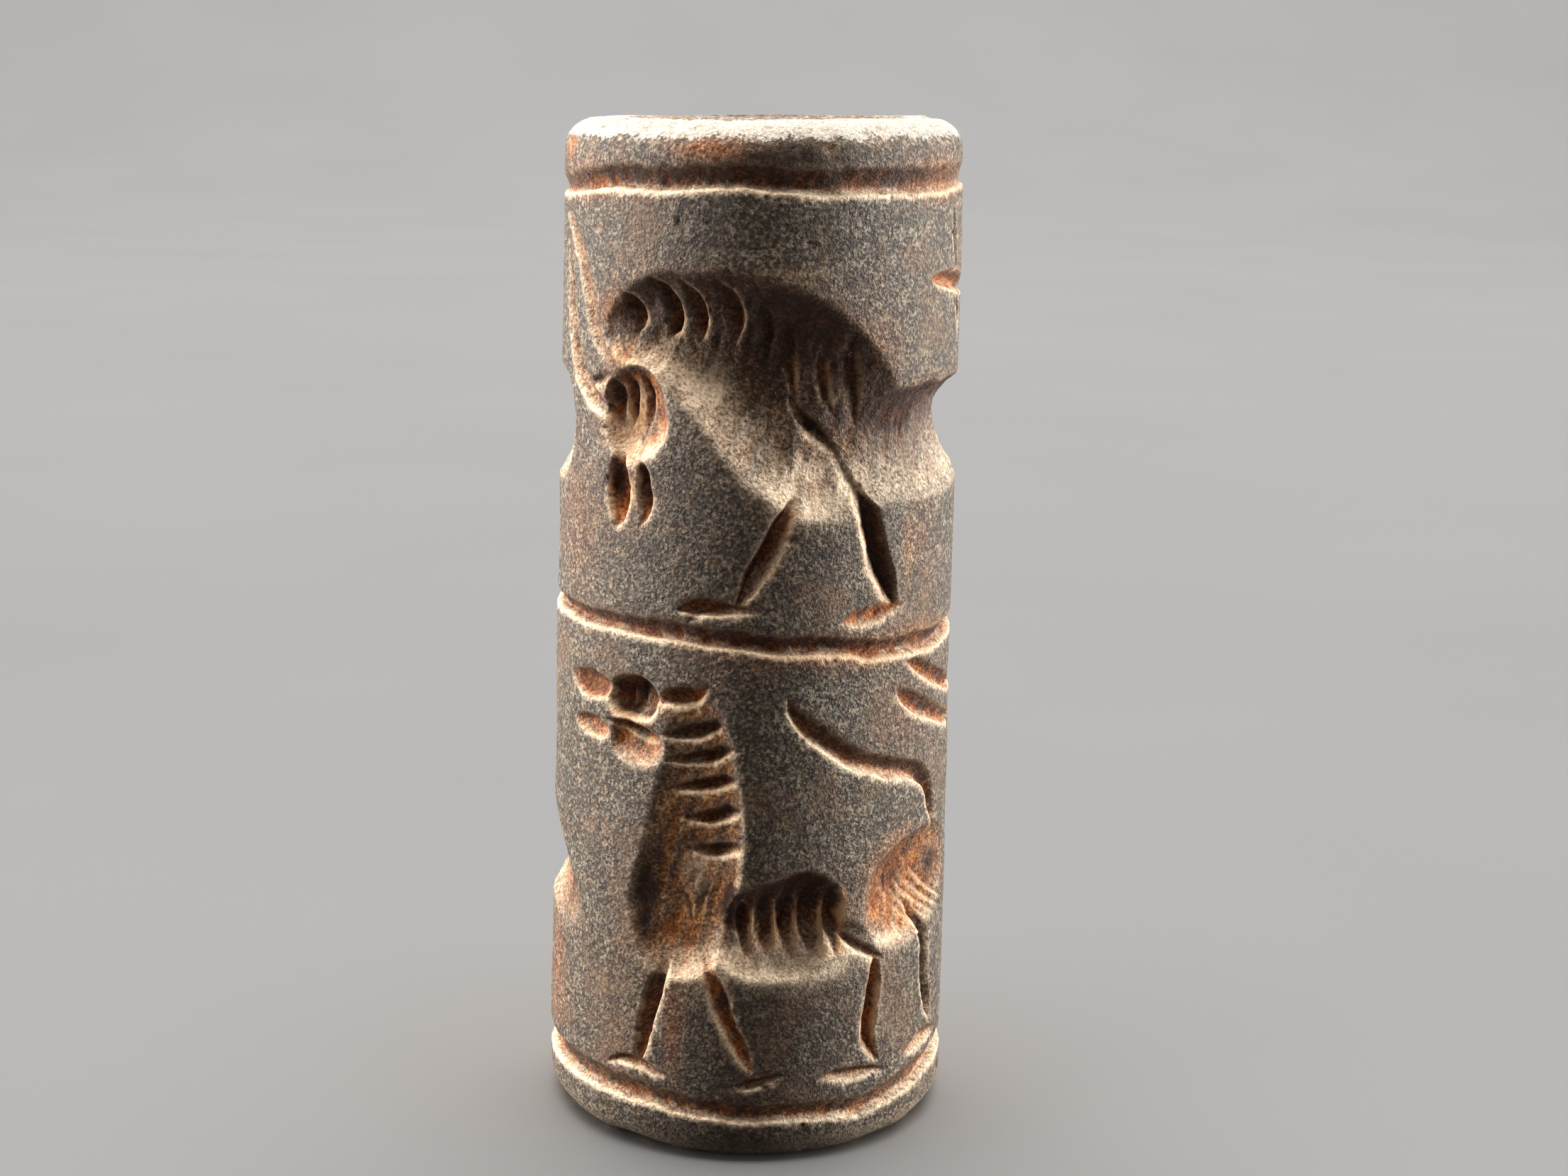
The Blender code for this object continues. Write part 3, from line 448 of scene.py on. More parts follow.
def beast_strokes(carving):
    """Rings on the neck, ribs on the belly and the bowed strokes of the haunch."""
    rings = (
        ((-3.2, 16.4), (-2.1, 16.62), (-1.0, 17.0)), ((-3.05, 15.45), (-1.9, 15.66), (-0.6, 16.08)),
        ((-2.8, 14.38), (-1.6, 14.58), (-0.35, 15.0)), ((-2.45, 13.25), (-1.35, 13.42), (-0.25, 13.8)),
        ((-2.3, 12.15), (-1.2, 12.15), (-0.15, 12.4)),
    )
    for (xa, za), (xb, zb), (xc, zc) in rings:
        carving.groove((xa - 0.2, za, 0.05, 0.04), (0.45 * xa + 0.55 * xb, 0.45 * za + 0.55 * zb, 0.24, 0.26),
                       (xb, zb, 0.31, 0.38), (0.45 * xb + 0.55 * xc, 0.5 * zb + 0.5 * zc, 0.29, 0.32),
                       (xc, zc, 0.06, 0.03), fullness=1.7, lean=-0.5, rust=0.6, soot=0.3)
    for x, top, half in ((-0.1, 9.9, 0.28), (0.72, 10.6, 0.42), (1.6, 10.9, 0.42),
                         (2.56, 11.0, 0.46), (3.4, 10.8, 0.30)):
        carving.groove((x, top, 0.14, 0.04), (x, 9.8, half, 0.24), (x + 0.05, 9.0, half, 0.24),
                       (x + 0.08, 8.4, 0.65 * half, 0.16), (x + 0.1, 8.0, 0.08, 0.02),
                       fullness=2.0, lean=-0.25, rust=0.7, soot=0.45)
        # rust down each rib's crest, rust with painted shade down its groove, and pale cream on the crest,
        # partly painted highlight
        carving.smear((x + half, 10.6, 0.1, 0.4), (x + half, 9.6, 0.14, 0.5), (x + half, 8.9, 0.18, 0.5),
                      (x + half, 8.2, 0.2, 0.4), rust=1.6, ochre=0.3)
        carving.smear((x, 9.0, 0.1, 0.3), (x + 0.05, 8.6, 0.16, 0.5), (x + 0.1, 8.1, 0.1, 0.3),
                      rust=1.5, soot=0.5)
        carving.smear((x + half, 9.3, 0.03, 0.2), (x + half + 0.03, 8.7, 0.12, 0.5),
                      (x + half + 0.05, 8.1, 0.16, 0.4), pale=1.8)
    # painted shade over the belly, on the neck's left wall, at the head and behind the rump; painted dimming
    # of the lower front; rust and ochre; and pale cream below the belly and on the neck, partly painted
    # highlight
    carving.stain(1.4, 10.3, 2.1, 1.0, soot=0.8)
    carving.stain(0.8, 5.6, 4.2, 2.6, dim=0.36)
    carving.stain(-2.7, 8.9, 1.2, 0.8, rust=1.0, ochre=0.5)
    carving.stain(1.8, 9.4, 1.8, 1.2, rust=0.8)
    carving.smear((0.3, 7.8, 0.2, 0.3), (1.3, 7.8, 0.35, 0.7), (2.4, 8.0, 0.3, 0.5), pale=1.8, rust=0.25)
    carving.stain(-0.1, 7.9, 0.6, 0.5, dim=0.35)
    carving.stain(-4.2, 9.8, 0.6, 2.2, soot=0.9)
    carving.stain(-0.5, 9.9, 0.5, 1.2, soot=1.0, dim=1.0)
    carving.stain(-1.9, 11.2, 0.7, 0.7, ochre=0.8, pale=1.6)
    carving.stain(-4.6, 17.75, 1.0, 0.45, soot=0.8)
    carving.stain(-4.6, 17.1, 1.0, 0.25, soot=0.6)
    carving.stain(9.4, 10.3, 0.7, 0.8, soot=0.8, rust=0.8)
    for bend in range(5):
        share = bend / 4
        carving.groove(
            (6.0 + 1.2 * share, 9.75 + 1.5 * share, 0.05, 0.02),
            (7.1 + 1.4 * share, 9.0 + 1.1 * share, 0.15, 0.07),
            (8.0 + 1.5 * share, 8.5 + 0.7 * share, 0.16, 0.09),
            (8.5 + 1.5 * share, 8.2 + 0.6 * share, 0.05, 0.02),
            fullness=1.5, lean=-0.2, soft=True, rust=0.9, soot=0.3)
    carving.groove((-2.9, 10.9, 0.05, 0.02), (-2.45, 9.9, 0.12, 0.07), (-2.2, 9.1, 0.05, 0.02),
                   rust=0.5)
    carving.groove((-1.3, 11.2, 0.05, 0.02), (-1.85, 10.1, 0.12, 0.07), (-2.15, 9.1, 0.05, 0.02),
                   rust=0.5)


def front_figures(carving):
    """The side that was cut with most care."""
    goat_body(carving)
    goat_legs(carving)
    goat_strokes(carving)
    beast_head(carving)
    beast_body(carving)
    beast_legs(carving)
    beast_strokes(carving)
    carving.groove((-8.25, 17.9, 0.05, 0.04), (-7.3, 17.75, 0.54, 0.38), (-6.4, 17.75, 0.54, 0.42),
                   (-5.65, 17.9, 0.12, 0.1), fullness=1.9, lean=0.15, rust=1.0, soot=0.3)
    carving.groove((-8.0, 16.2, 0.05, 0.04), (-7.2, 16.15, 0.40, 0.32), (-6.4, 16.15, 0.40, 0.34),
                   (-5.75, 16.2, 0.08, 0.06), fullness=1.9, lean=0.1, rust=1.0)


def side_figures(carving):
    """What the other two animals of each row bring: the same figures, drawn shorter."""
    carving.over, carving.stretch = 17.0, 0.84
    goat_body(carving, horns=False)
    goat_legs(carving)
    goat_strokes(carving)
    carving.over, carving.stretch = -17.2, 0.84
    goat_body(carving, tail_end=False)
    goat_legs(carving)
    goat_strokes(carving)
    carving.over, carving.stretch = 16.2, 0.9
    beast_head(carving)
    beast_body(carving)
    beast_legs(carving)
    beast_strokes(carving)
    carving.over, carving.stretch = -16.6, 0.9
    beast_head(carving)
    beast_body(carving, rump=False)
    beast_legs(carving, tail=False)
    carving.over, carving.stretch = 0.0, 1.0
    carving.gouge(
        (-14.4, 10.5, 1.4, 0.4), (-12.8, 10.5, 2.0, 0.85), (-11.3, 10.3, 2.0, 0.85),
        (-10.3, 9.9, 1.8, 0.65), (-9.5, 9.4, 1.5, 0.42), (-8.7, 9.0, 1.2, 0.22),
        fullness=2.2, lean=0.25, rust=0.3, ochre=0.3)
    # the horn, ear and snout of the figures that follow on the right
    carving.groove((7.5, 32.95, 0.08, 0.06), (8.3, 32.9, 0.34, 0.36), (9.6, 32.75, 0.40, 0.44),
                   (11.5, 32.5, 0.36, 0.36), (13.0, 31.6, 0.2, 0.1), fullness=1.9, lean=-0.2, rust=1.0)
    carving.groove((9.35, 35.4, 0.08, 0.06), (9.5, 34.4, 0.22, 0.26), (9.8, 33.3, 0.22, 0.2),
                   fullness=1.6, rust=0.2)
    carving.groove((10.1, 32.1, 0.12, 0.1), (10.3, 31.4, 0.26, 0.3), (10.4, 30.6, 0.06, 0.05),
                   fullness=1.6, rust=0.2)
    carving.groove((6.35, 18.95, 0.06, 0.05), (7.3, 18.65, 0.32, 0.34), (8.7, 18.0, 0.36, 0.36),
                   (10.6, 17.2, 0.3, 0.3), fullness=1.8, lean=-0.45, rust=0.8)
    carving.groove((6.0, 17.9, 0.06, 0.05), (6.7, 17.48, 0.36, 0.38), (8.2, 16.72, 0.40, 0.38),
                   (10.3, 15.95, 0.3, 0.3), fullness=1.8, lean=-0.45, rust=0.8)


def small_marks(carving):
    """Chips and scratches on the plain faces, and soft patches of earth, painted shade and painted highlight.
    """
    for x, z, size, deep in ((1.35, 23.85, 0.22, 0.10), (0.1, 19.2, 0.13, 0.06), (3.8, 19.3, 0.16, 0.08),
                             (-6.9, 34.6, 0.18, 0.05), (5.6, 33.9, 0.15, 0.05), (2.4, 37.5, 0.22, 0.07)):
        carving.nick(x, z, size, deep)
    for first, second, third in (
        ((0.6, 33.35), (1.7, 33.28), (2.9, 33.2)), ((0.2, 33.05), (1.3, 33.1), (2.2, 33.0)),
        ((-2.2, 34.0), (-0.9, 34.1), (0.4, 34.0)), ((1.35, 5.5), (1.5, 5.0), (1.7, 4.5)),
        ((4.1, 17.1), (4.9, 16.75), (5.6, 16.6)), ((-1.4, 23.1), (-1.0, 22.5), (-0.7, 22.3)),
    ):
        carving.groove((*first, 0.05, 0.012), (*second, 0.07, 0.03), (*third, 0.05, 0.012), rust=0.1)
    carving.stain(-1.9, 37.45, 1.4, 0.45, rust=0.8)
    # painted shade: the stone darkened near the upper rim, on the lower front and along the foot
    carving.stain(1.2, 37.3, 2.4, 0.5, dim=0.9)
    carving.stain(0.3, 4.5, 4.0, 7.0, dim=0.4)
    carving.stain(0.0, 0.8, 6.5, 0.9, dim=1.0)
    carving.stain(1.4, 33.3, 1.6, 0.12, ochre=0.3, pale=0.3)
    carving.stain(-2.6, 5.2, 0.4, 1.9, rust=0.42)
    carving.stain(-2.3, 8.9, 1.4, 1.4, ochre=1.2)
    carving.stain(-1.4, 10.7, 0.8, 1.3, ochre=1.1)
    carving.stain(-2.2, 7.6, 0.8, 0.6, pale=1.0)
    # patches on the goat: pale cream, partly painted highlight, and painted dimming
    carving.stain(-4.2, 30.1, 0.9, 0.5, pale=0.3, dim=0.3)
    carving.stain(-5.0, 30.35, 0.6, 0.35, ochre=0.9, rust=0.3)
    carving.stain(-1.9, 29.3, 0.8, 0.6, pale=1.0, ochre=0.4)
    carving.stain(-0.3, 27.2, 0.9, 0.8, dim=0.25)
    carving.stain(2.4, 25.5, 1.5, 0.8, pale=1.8, ochre=0.3)
    carving.stain(-4.9, 26.8, 0.9, 0.3, pale=1.0)
    # painted shade beside the goat's mane and under its haunch, with some earth
    carving.stain(-5.4, 31.7, 0.7, 0.6, soot=0.5)
    carving.stain(6.3, 28.0, 1.9, 1.05, dim=1.2, ochre=0.2, soot=0.9)
    carving.smear((-6.0, 27.5, 0.3, 0.3), (-5.1, 27.3, 0.5, 0.5), (-4.1, 27.6, 0.3, 0.3),
                  pale=0.6, rust=0.9)
    carving.stain(-1.7, 11.3, 0.9, 0.7, ochre=1.1, pale=0.6)
    carving.stain(-9.6, 37.5, 0.6, 0.5, rust=0.7)
    # painted dimming below the goat's rump, then pale cream below the beast's belly and rump, partly painted
    # highlight
    carving.stain(6.8, 25.8, 2.2, 0.6, dim=0.3)
    carving.stain(1.5, 7.85, 2.4, 0.6, pale=2.2)
    carving.stain(5.8, 8.3, 1.6, 0.45, pale=0.8)
    carving.stain(6.4, 10.7, 1.2, 1.1, rust=1.5, ochre=0.9, soot=0.52)
    carving.stain(6.4, 23.2, 0.25, 1.3, ochre=0.5)
    carving.stain(-9.6, 5.8, 1.0, 2.2, rust=0.4)
    carving.stain(7.2, 23.6, 0.7, 1.6, rust=0.22)
    carving.stain(-7.8, 23.5, 1.4, 2.6, rust=0.25)
    carving.stain(6.3, 16.6, 1.3, 1.1, rust=0.22)
    carving.stain(7.6, 28.6, 1.4, 0.7, rust=0.5)


# ------------------------------------------------------------------ the net of points

def section():
    """The outline at +X, clockwise from the upper mouth: radius, height, outward normal, region."""
    rows = []

    def line(r0, z0, r1, z1, normal, region, step):
        count = max(2, round(math.hypot(r1 - r0, z1 - z0) / step))
        for share in np.arange(count) / count:
            rows.append((r0 + (r1 - r0) * share, z0 + (z1 - z0) * share, *normal, region))

    def corner(r, z, size, start, region):
        count = round(size * math.pi / 2 / POINT_STEP)
        for k in range(count):
            angle = start - math.pi / 2 * k / count
            c, s = math.cos(angle), math.sin(angle)
            rows.append((r + size * c, z + size * s, c, s, region))

    mouth = MOUTH_RADIUS + MOUTH_ROUNDING
    top_flat, foot_flat = TOP_RADIUS - TOP_ROUNDING, FOOT_RADIUS - FOOT_ROUNDING
    line(mouth, HEIGHT, top_flat, HEIGHT, (0, 1), TOP_END, 2 * POINT_STEP)
    corner(top_flat, HEIGHT - TOP_ROUNDING, TOP_ROUNDING, math.pi / 2, SIDE)
    line(TOP_RADIUS, HEIGHT - TOP_ROUNDING, FOOT_RADIUS, FOOT_ROUNDING, (1, 0), SIDE, POINT_STEP)
    corner(foot_flat, FOOT_ROUNDING, FOOT_ROUNDING, 0.0, SIDE)
    line(foot_flat, 0.0, mouth, 0.0, (0, -1), FOOT_END, 2 * POINT_STEP)
    count = round(HEIGHT / (8 * POINT_STEP))
    for k in range(count + 1):
        z = HEIGHT * 0.5 * (1 - math.cos(math.pi * k / count))
        inside = min(z, HEIGHT - z)
        flare = (MOUTH_RADIUS - BORE_RADIUS) * max(0.0, 1 - inside / MOUTH_DEPTH) ** 2
        r = BORE_RADIUS + flare + MOUTH_ROUNDING * math.exp(-inside / 0.15)
        rows.append((r, z, -1, 0, BORE))
    return np.array(rows)


def smooth(field, reach):
    """A periodic Gaussian blur; reach is in millimetres on the side."""
    fz = np.fft.fftfreq(field.shape[0])[:, None]
    fx = np.fft.rfftfreq(field.shape[1])[None, :]
    spread = 2 * (math.pi * reach / POINT_STEP) ** 2
    return np.fft.irfft2(np.fft.rfft2(field) * np.exp(-spread * (fz**2 + fx**2)), field.shape)


def rough(shape, size, seed):
    """Smooth random unevenness of unit strength, with bumps of about the given size in millimetres."""
    field = smooth(np.random.default_rng(seed).standard_normal(shape), size / 4)
    return (field - field.mean()) / field.std()


def bumps(shape, size, seed, level):
    """Only what stands above the level in such an unevenness."""
    return np.clip(rough(shape, size, seed) - level, 0, None)


def strokes(shape, across, along, slant, seed):
    """Unevenness drawn out into fine strokes of the given width, length and slant."""
    fz, fx = np.fft.fftfreq(shape[0])[:, None], np.fft.rfftfreq(shape[1])[None, :]
    c, s = math.cos(slant), math.sin(slant)
    spread = (across * (c * fx + s * fz)) ** 2 + (along * (c * fz - s * fx)) ** 2
    field = np.fft.rfft2(np.random.default_rng(seed).standard_normal(shape))
    field = np.fft.irfft2(field * np.exp(-2 * (math.pi / POINT_STEP) ** 2 * spread / 16), shape)
    return (field - field.mean()) / field.std()


def ramp(value, low, high):
    """0 below low, 1 above high and a smooth rise between."""
    t = np.clip((value - low) / (high - low), 0, 1)
    return t * t * (3 - 2 * t)


def stone_fields():
    """The section and, for every point of the net, how far it is sunk, how it is stained and where shade and
    highlights are painted.
    """
    rows = section()
    height, region = rows[:, 1], rows[:, 4]
    angle = (np.arange(COLUMNS) / COLUMNS - 0.5) * 2 * math.pi
    shape = (len(rows), COLUMNS)
    around = np.broadcast_to(angle * DRAWING_RADIUS, shape)
    up = np.broadcast_to(height[:, None], shape)
    side = np.broadcast_to((region == SIDE)[:, None], shape)

    shake = 0.016 * rough(shape, 0.6, 11) + 0.035 * rough(shape, 2.0, 12)
    sway = 0.016 * rough(shape, 0.6, 13) + 0.035 * rough(shape, 2.0, 14)
    carving = Carving(around + sway, up + shake)
    border_lines(carving)
    front_figures(carving)
    side_figures(carving)
    small_marks(carving)
    hollow = smooth(np.where(side, carving.hollow, 0.0), 0.06)
    line = smooth(np.where(side, carving.line, 0.0), 0.03)
    sunk = np.where(side, hollow + line, 0.0)

    # worn ends, nicks along the edges of the cuts and the handled surface
    edge = np.clip((smooth(sunk, 0.13) - smooth(sunk, 0.04)) / 0.035, 0, 1)
    nicks = 0.05 * edge * np.minimum(bumps(shape, 0.32, 20, 1.1), 1.5)
    radius = np.broadcast_to(rows[:, 0, None], shape)
    from_rim = np.where(side, np.minimum(HEIGHT - up, up), TOP_RADIUS - TOP_ROUNDING - radius)
    near_end = np.exp(-np.clip(from_rim, 0, None) / 0.8) * np.where(up < HEIGHT / 2, 0.6, 1.0)
    wear = 0.09 * bumps(shape, 3.0, 21, -0.6) * near_end
    wear += 0.10 * bumps(shape, 0.8, 22, 0.9) * near_end
    wear += 0.05 * bumps(shape, 0.3, 27, 0.8) * near_end
    handled = 0.02 * bumps(shape, 5.0, 23, -2.5)
    handled += 0.005 * bumps(shape, 0.28, 24, -2.5)
    handled += 0.030 * bumps(shape, 0.4, 25, 2.2)
    on_end = (up == height.min()) | (up == HEIGHT)
    mouth_gap = np.where(on_end, radius, FAR)
    in_bore = np.broadcast_to((region == BORE)[:, None], shape)
    calm = ramp(np.where(in_bore, 0.0, mouth_gap - MOUTH_RADIUS - MOUTH_ROUNDING), 0.1, 1.2)
    plain = sunk + calm * (nicks + wear + handled * np.where(in_bore, 0.0, ramp(up, 0.0, 1.0)))
    scored = strokes(shape, 0.32, 1.6, 0.3, 28)
    floor = np.clip(sunk / 0.3, 0, 1) * (0.010 * rough(shape, 0.2, 26) + 0.012 * scored)
    sunk_all = np.maximum(plain + floor, 0.0)

    fine = smooth(sunk_all, 0.03)
    bed = np.clip((fine - smooth(sunk_all, 0.22)) / 0.09, 0, 1)

    def slope(field):
        rise = np.zeros(shape)
        rise[1:-1] = (field[:-2] - field[2:]) / (2 * POINT_STEP)
        return np.where(side, rise, 0.0)

    # lips of the cuts, which the finish wears tan; the lip is kept strong on lower lips that face up and weak
    # on upper lips that face down, which is painted highlight
    lip = np.clip((smooth(plain, 0.08) - smooth(plain, 0.03)) / 0.02 - 0.15, 0, 1)
    lip *= 0.25 + 0.75 * ramp(slope(smooth(sunk, 0.12)), -0.3, 0.15)
    soft = smooth(sunk, 0.05)
    steep, broad = slope(soft), slope(smooth(sunk, 0.25))
    sideways = np.abs(np.roll(soft, 1, 1) - np.roll(soft, -1, 1)) / (2 * POINT_STEP)
    uneven = np.clip(1 + 0.4 * ramp(sunk, 0.1, 0.3) * scored, 0.2, 2.0)
    # marks for the finish: upward faces of the cuts and lower slopes of hollows, which are turned cream as
    # painted highlight; downward and sideways faces, upper parts of hollows and floors of lines, which are
    # darkened as painted shade; the floors where rust gathers; and the laid marks
    stains_and_shading = {
        "lip": lip, "bed": bed, "ledge": np.clip(steep, 0, 1.2), "roof": np.clip(-steep, 0, 1.2),
        "shade": np.clip(0.1 - broad, 0, 0.6) * ramp(smooth(hollow, 0.2), 0.15, 0.6),
        "apron": np.clip(broad - 0.2, 0, 0.8) * ramp(smooth(hollow, 0.2), 0.05, 0.3) * uneven,
        # laid painted shade, kept to the cuts
        "soot": smooth(carving.left["soot"] * ramp(sunk, 0.06, 0.25), 0.06) * side * uneven,
        **{kind: smooth(carving.left[kind], 0.06) * side * uneven for kind in STAINS_AND_SHADING if kind != "soot"},
        "cut": ramp(line, 0.03, 0.28), "wall": np.clip(sideways - np.maximum(steep, 0), 0, 1.2),
    }
    ends = np.broadcast_to(region[:, None], shape)
    inner = 0.35 + 0.65 * ramp(radius, TOP_RADIUS - 3.0, TOP_RADIUS - TOP_ROUNDING)
    stains_and_shading["worn_top"] = np.where(ends == TOP_END, inner, ramp(up, 37.5, 38.3) * side)
    stains_and_shading["worn_foot"] = np.where(ends == FOOT_END, 0.6, (1 - ramp(up, 0.3, 2.1)) * side)
    return rows, angle, sunk_all, stains_and_shading


def net_mesh(rows, angle, sunk):
    """The stone as one closed net, its place on the net kept in a UV map while it is thinned."""
    count = len(rows)
    r = rows[:, 0, None] - sunk * rows[:, 2, None]
    z = rows[:, 1, None] - sunk * rows[:, 3, None]
    x, y = r * np.sin(angle), -r * np.cos(angle)
    z = z + SLANT * x * np.clip((z - SLANT_FROM) / (HEIGHT - SLANT_FROM), 0, 1)
    points = np.stack([x, y, z], axis=-1).reshape(-1, 3) * MM
    i, j = np.meshgrid(np.arange(count), np.arange(COLUMNS), indexing="ij")
    below, right = (i + 1) % count, (j + 1) % COLUMNS
    corners = [i * COLUMNS + j, below * COLUMNS + j, below * COLUMNS + right, i * COLUMNS + right]
    faces = np.stack(corners, axis=-1).reshape(-1, 4)
    mesh = bpy.data.meshes.new("seal_surface")
    mesh.vertices.add(len(points))
    mesh.vertices.foreach_set("co", points.ravel())
    mesh.loops.add(faces.size)
    mesh.loops.foreach_set("vertex_index", faces.ravel())
    mesh.polygons.add(len(faces))
    mesh.polygons.foreach_set("loop_start", np.arange(0, faces.size, 4))
    mesh.update(calc_edges=True)
    places = np.stack([np.stack([j, j, j + 1, j + 1], -1), np.stack([i, i + 1, i + 1, i], -1)], -1)
    uv = mesh.uv_layers.new(name=BAKE_MAP)
    uv.uv.foreach_set("vector", (places.reshape(-1, 2) / (COLUMNS, count)).astype(np.float32).ravel())
    return mesh


def thinned(mesh):
    """The same surface with points only where they shape it."""
    stone = bpy.data.objects.new("carved_seal", mesh)
    bpy.context.scene.collection.objects.link(stone)
    thin = stone.modifiers.new("thin", "DECIMATE")
    thin.ratio = TRIANGLES / (2 * len(mesh.polygons))
    thin.use_collapse_triangulate = True
    graph = bpy.context.evaluated_depsgraph_get()
    stone.data = bpy.data.meshes.new_from_object(stone.evaluated_get(graph))
    stone.modifiers.clear()
    bpy.data.meshes.remove(mesh)
    for point in stone.data.vertices:
        point.co.z = max(point.co.z, 0.0)
    return stone


def lay_out(stone, rows, stains_and_shading):
    """Reads each mark of earth, painted shade and painted highlight off the net at the kept points and
    unrolls the surface into the bake map.
    """
    mesh = stone.data
    count = len(rows)
    spots = np.empty(len(mesh.loops) * 2, np.float32)
    uv = mesh.uv_layers[BAKE_MAP].uv
    uv.foreach_get("vector", spots)
    spots = spots.reshape(-1, 2).astype(float) * (COLUMNS, count)
    owner = np.empty(len(mesh.loops), np.int32)
    mesh.loops.foreach_get("vertex_index", owner)
    i0, j0 = np.floor(spots[:, 1]).astype(int), np.floor(spots[:, 0]).astype(int)
    fi, fj = spots[:, 1] - i0, spots[:, 0] - j0
    for name, field in stains_and_shading.items():
        def at(i, j):
            return field[i % count, j % COLUMNS]
        value = (at(i0, j0) * (1 - fi) + at(i0 + 1, j0) * fi) * (1 - fj)
        value += (at(i0, j0 + 1) * (1 - fi) + at(i0 + 1, j0 + 1) * fi) * fj
        attribute = mesh.attributes.new(name, "FLOAT", "POINT")
        values = np.zeros(len(mesh.vertices), np.float32)
        values[owner] = value
        attribute.data.foreach_set("value", values)

    # one square sheet: the unrolled side, the two ends as discs, and the bore as a narrow strip
    co = np.empty(len(mesh.vertices) * 3)
    mesh.vertices.foreach_get("co", co)
    place = co.reshape(-1, 3)[owner] / MM
    first = [int(np.argmax(rows[:, 4] == region)) for region in range(4)] + [count]
    middle = np.repeat(spots.reshape(-1, 3, 2)[:, :, 1].mean(1), 3)
    region = np.searchsorted(first, middle, side="right") - 1
    steps = np.hypot(np.diff(rows[:, 0], append=rows[0, 0]), np.diff(rows[:, 1], append=rows[0, 1]))
    length = np.concatenate([[0], np.cumsum(steps)])
    along = np.interp(spots[:, 1], np.arange(count + 1), length)
    turn = spots[:, 0] / COLUMNS
    side_length = length[first[FOOT_END]] - length[first[SIDE]]
    margin, sheet, gap, least = 0.4, 52.0, 1.0, 0.1
    disc_radius, disc_scale, disc_places = 4.6, 0.55, ((TOP_END, 8.2), (FOOT_END, 24.8))
    strip_left, strip_width, strip_length = 31.0, 16.0, 9.0
    u = margin + turn * ONCE_ROUND
    v = margin + length[first[FOOT_END]] - along
    disc_v = margin + side_length + gap
    for end, shift in disc_places:
        chosen = region == end
        u[chosen] = shift + place[chosen, 0] * disc_scale
        v[chosen] = disc_v + disc_radius + place[chosen, 1] * disc_scale
    chosen = region == BORE
    u[chosen] = strip_left + turn[chosen] * strip_width
    v[chosen] = disc_v + (along[chosen] - length[first[BORE]]) / HEIGHT * strip_length
    chosen = region == SIDE
    v[chosen] = np.maximum(v[chosen], least)
    uv.foreach_set("vector", (np.stack([u, v], -1) / sheet).astype(np.float32).ravel())


# ------------------------------------------------------------------ shader maths

class Value:
    """A socket that shader maths can be written with."""

    def __init__(self, finish, socket):
        self.finish = finish
        self.socket = socket

    def maths(self, operation, *others):
        return self.finish.node("ShaderNodeMath", {"operation": operation}, self, *others)

    def __add__(self, other):
        return self.maths("ADD", other)

    __radd__ = __add__

    def __sub__(self, other):
        return self.maths("SUBTRACT", other)

    def __rsub__(self, other):
        return self.finish.node("ShaderNodeMath", {"operation": "SUBTRACT"}, other, self)

    def __mul__(self, other):
        return self.maths("MULTIPLY", other)

    __rmul__ = __mul__

    def over(self, low, high):
        """0 below low, 1 above high and a smooth rise between."""
        settings = {"interpolation_type": "SMOOTHSTEP", "clamp": True}
        return self.finish.node("ShaderNodeMapRange", settings, self, low, high)

    def held(self):
        return self.finish.node("ShaderNodeClamp", {}, self)


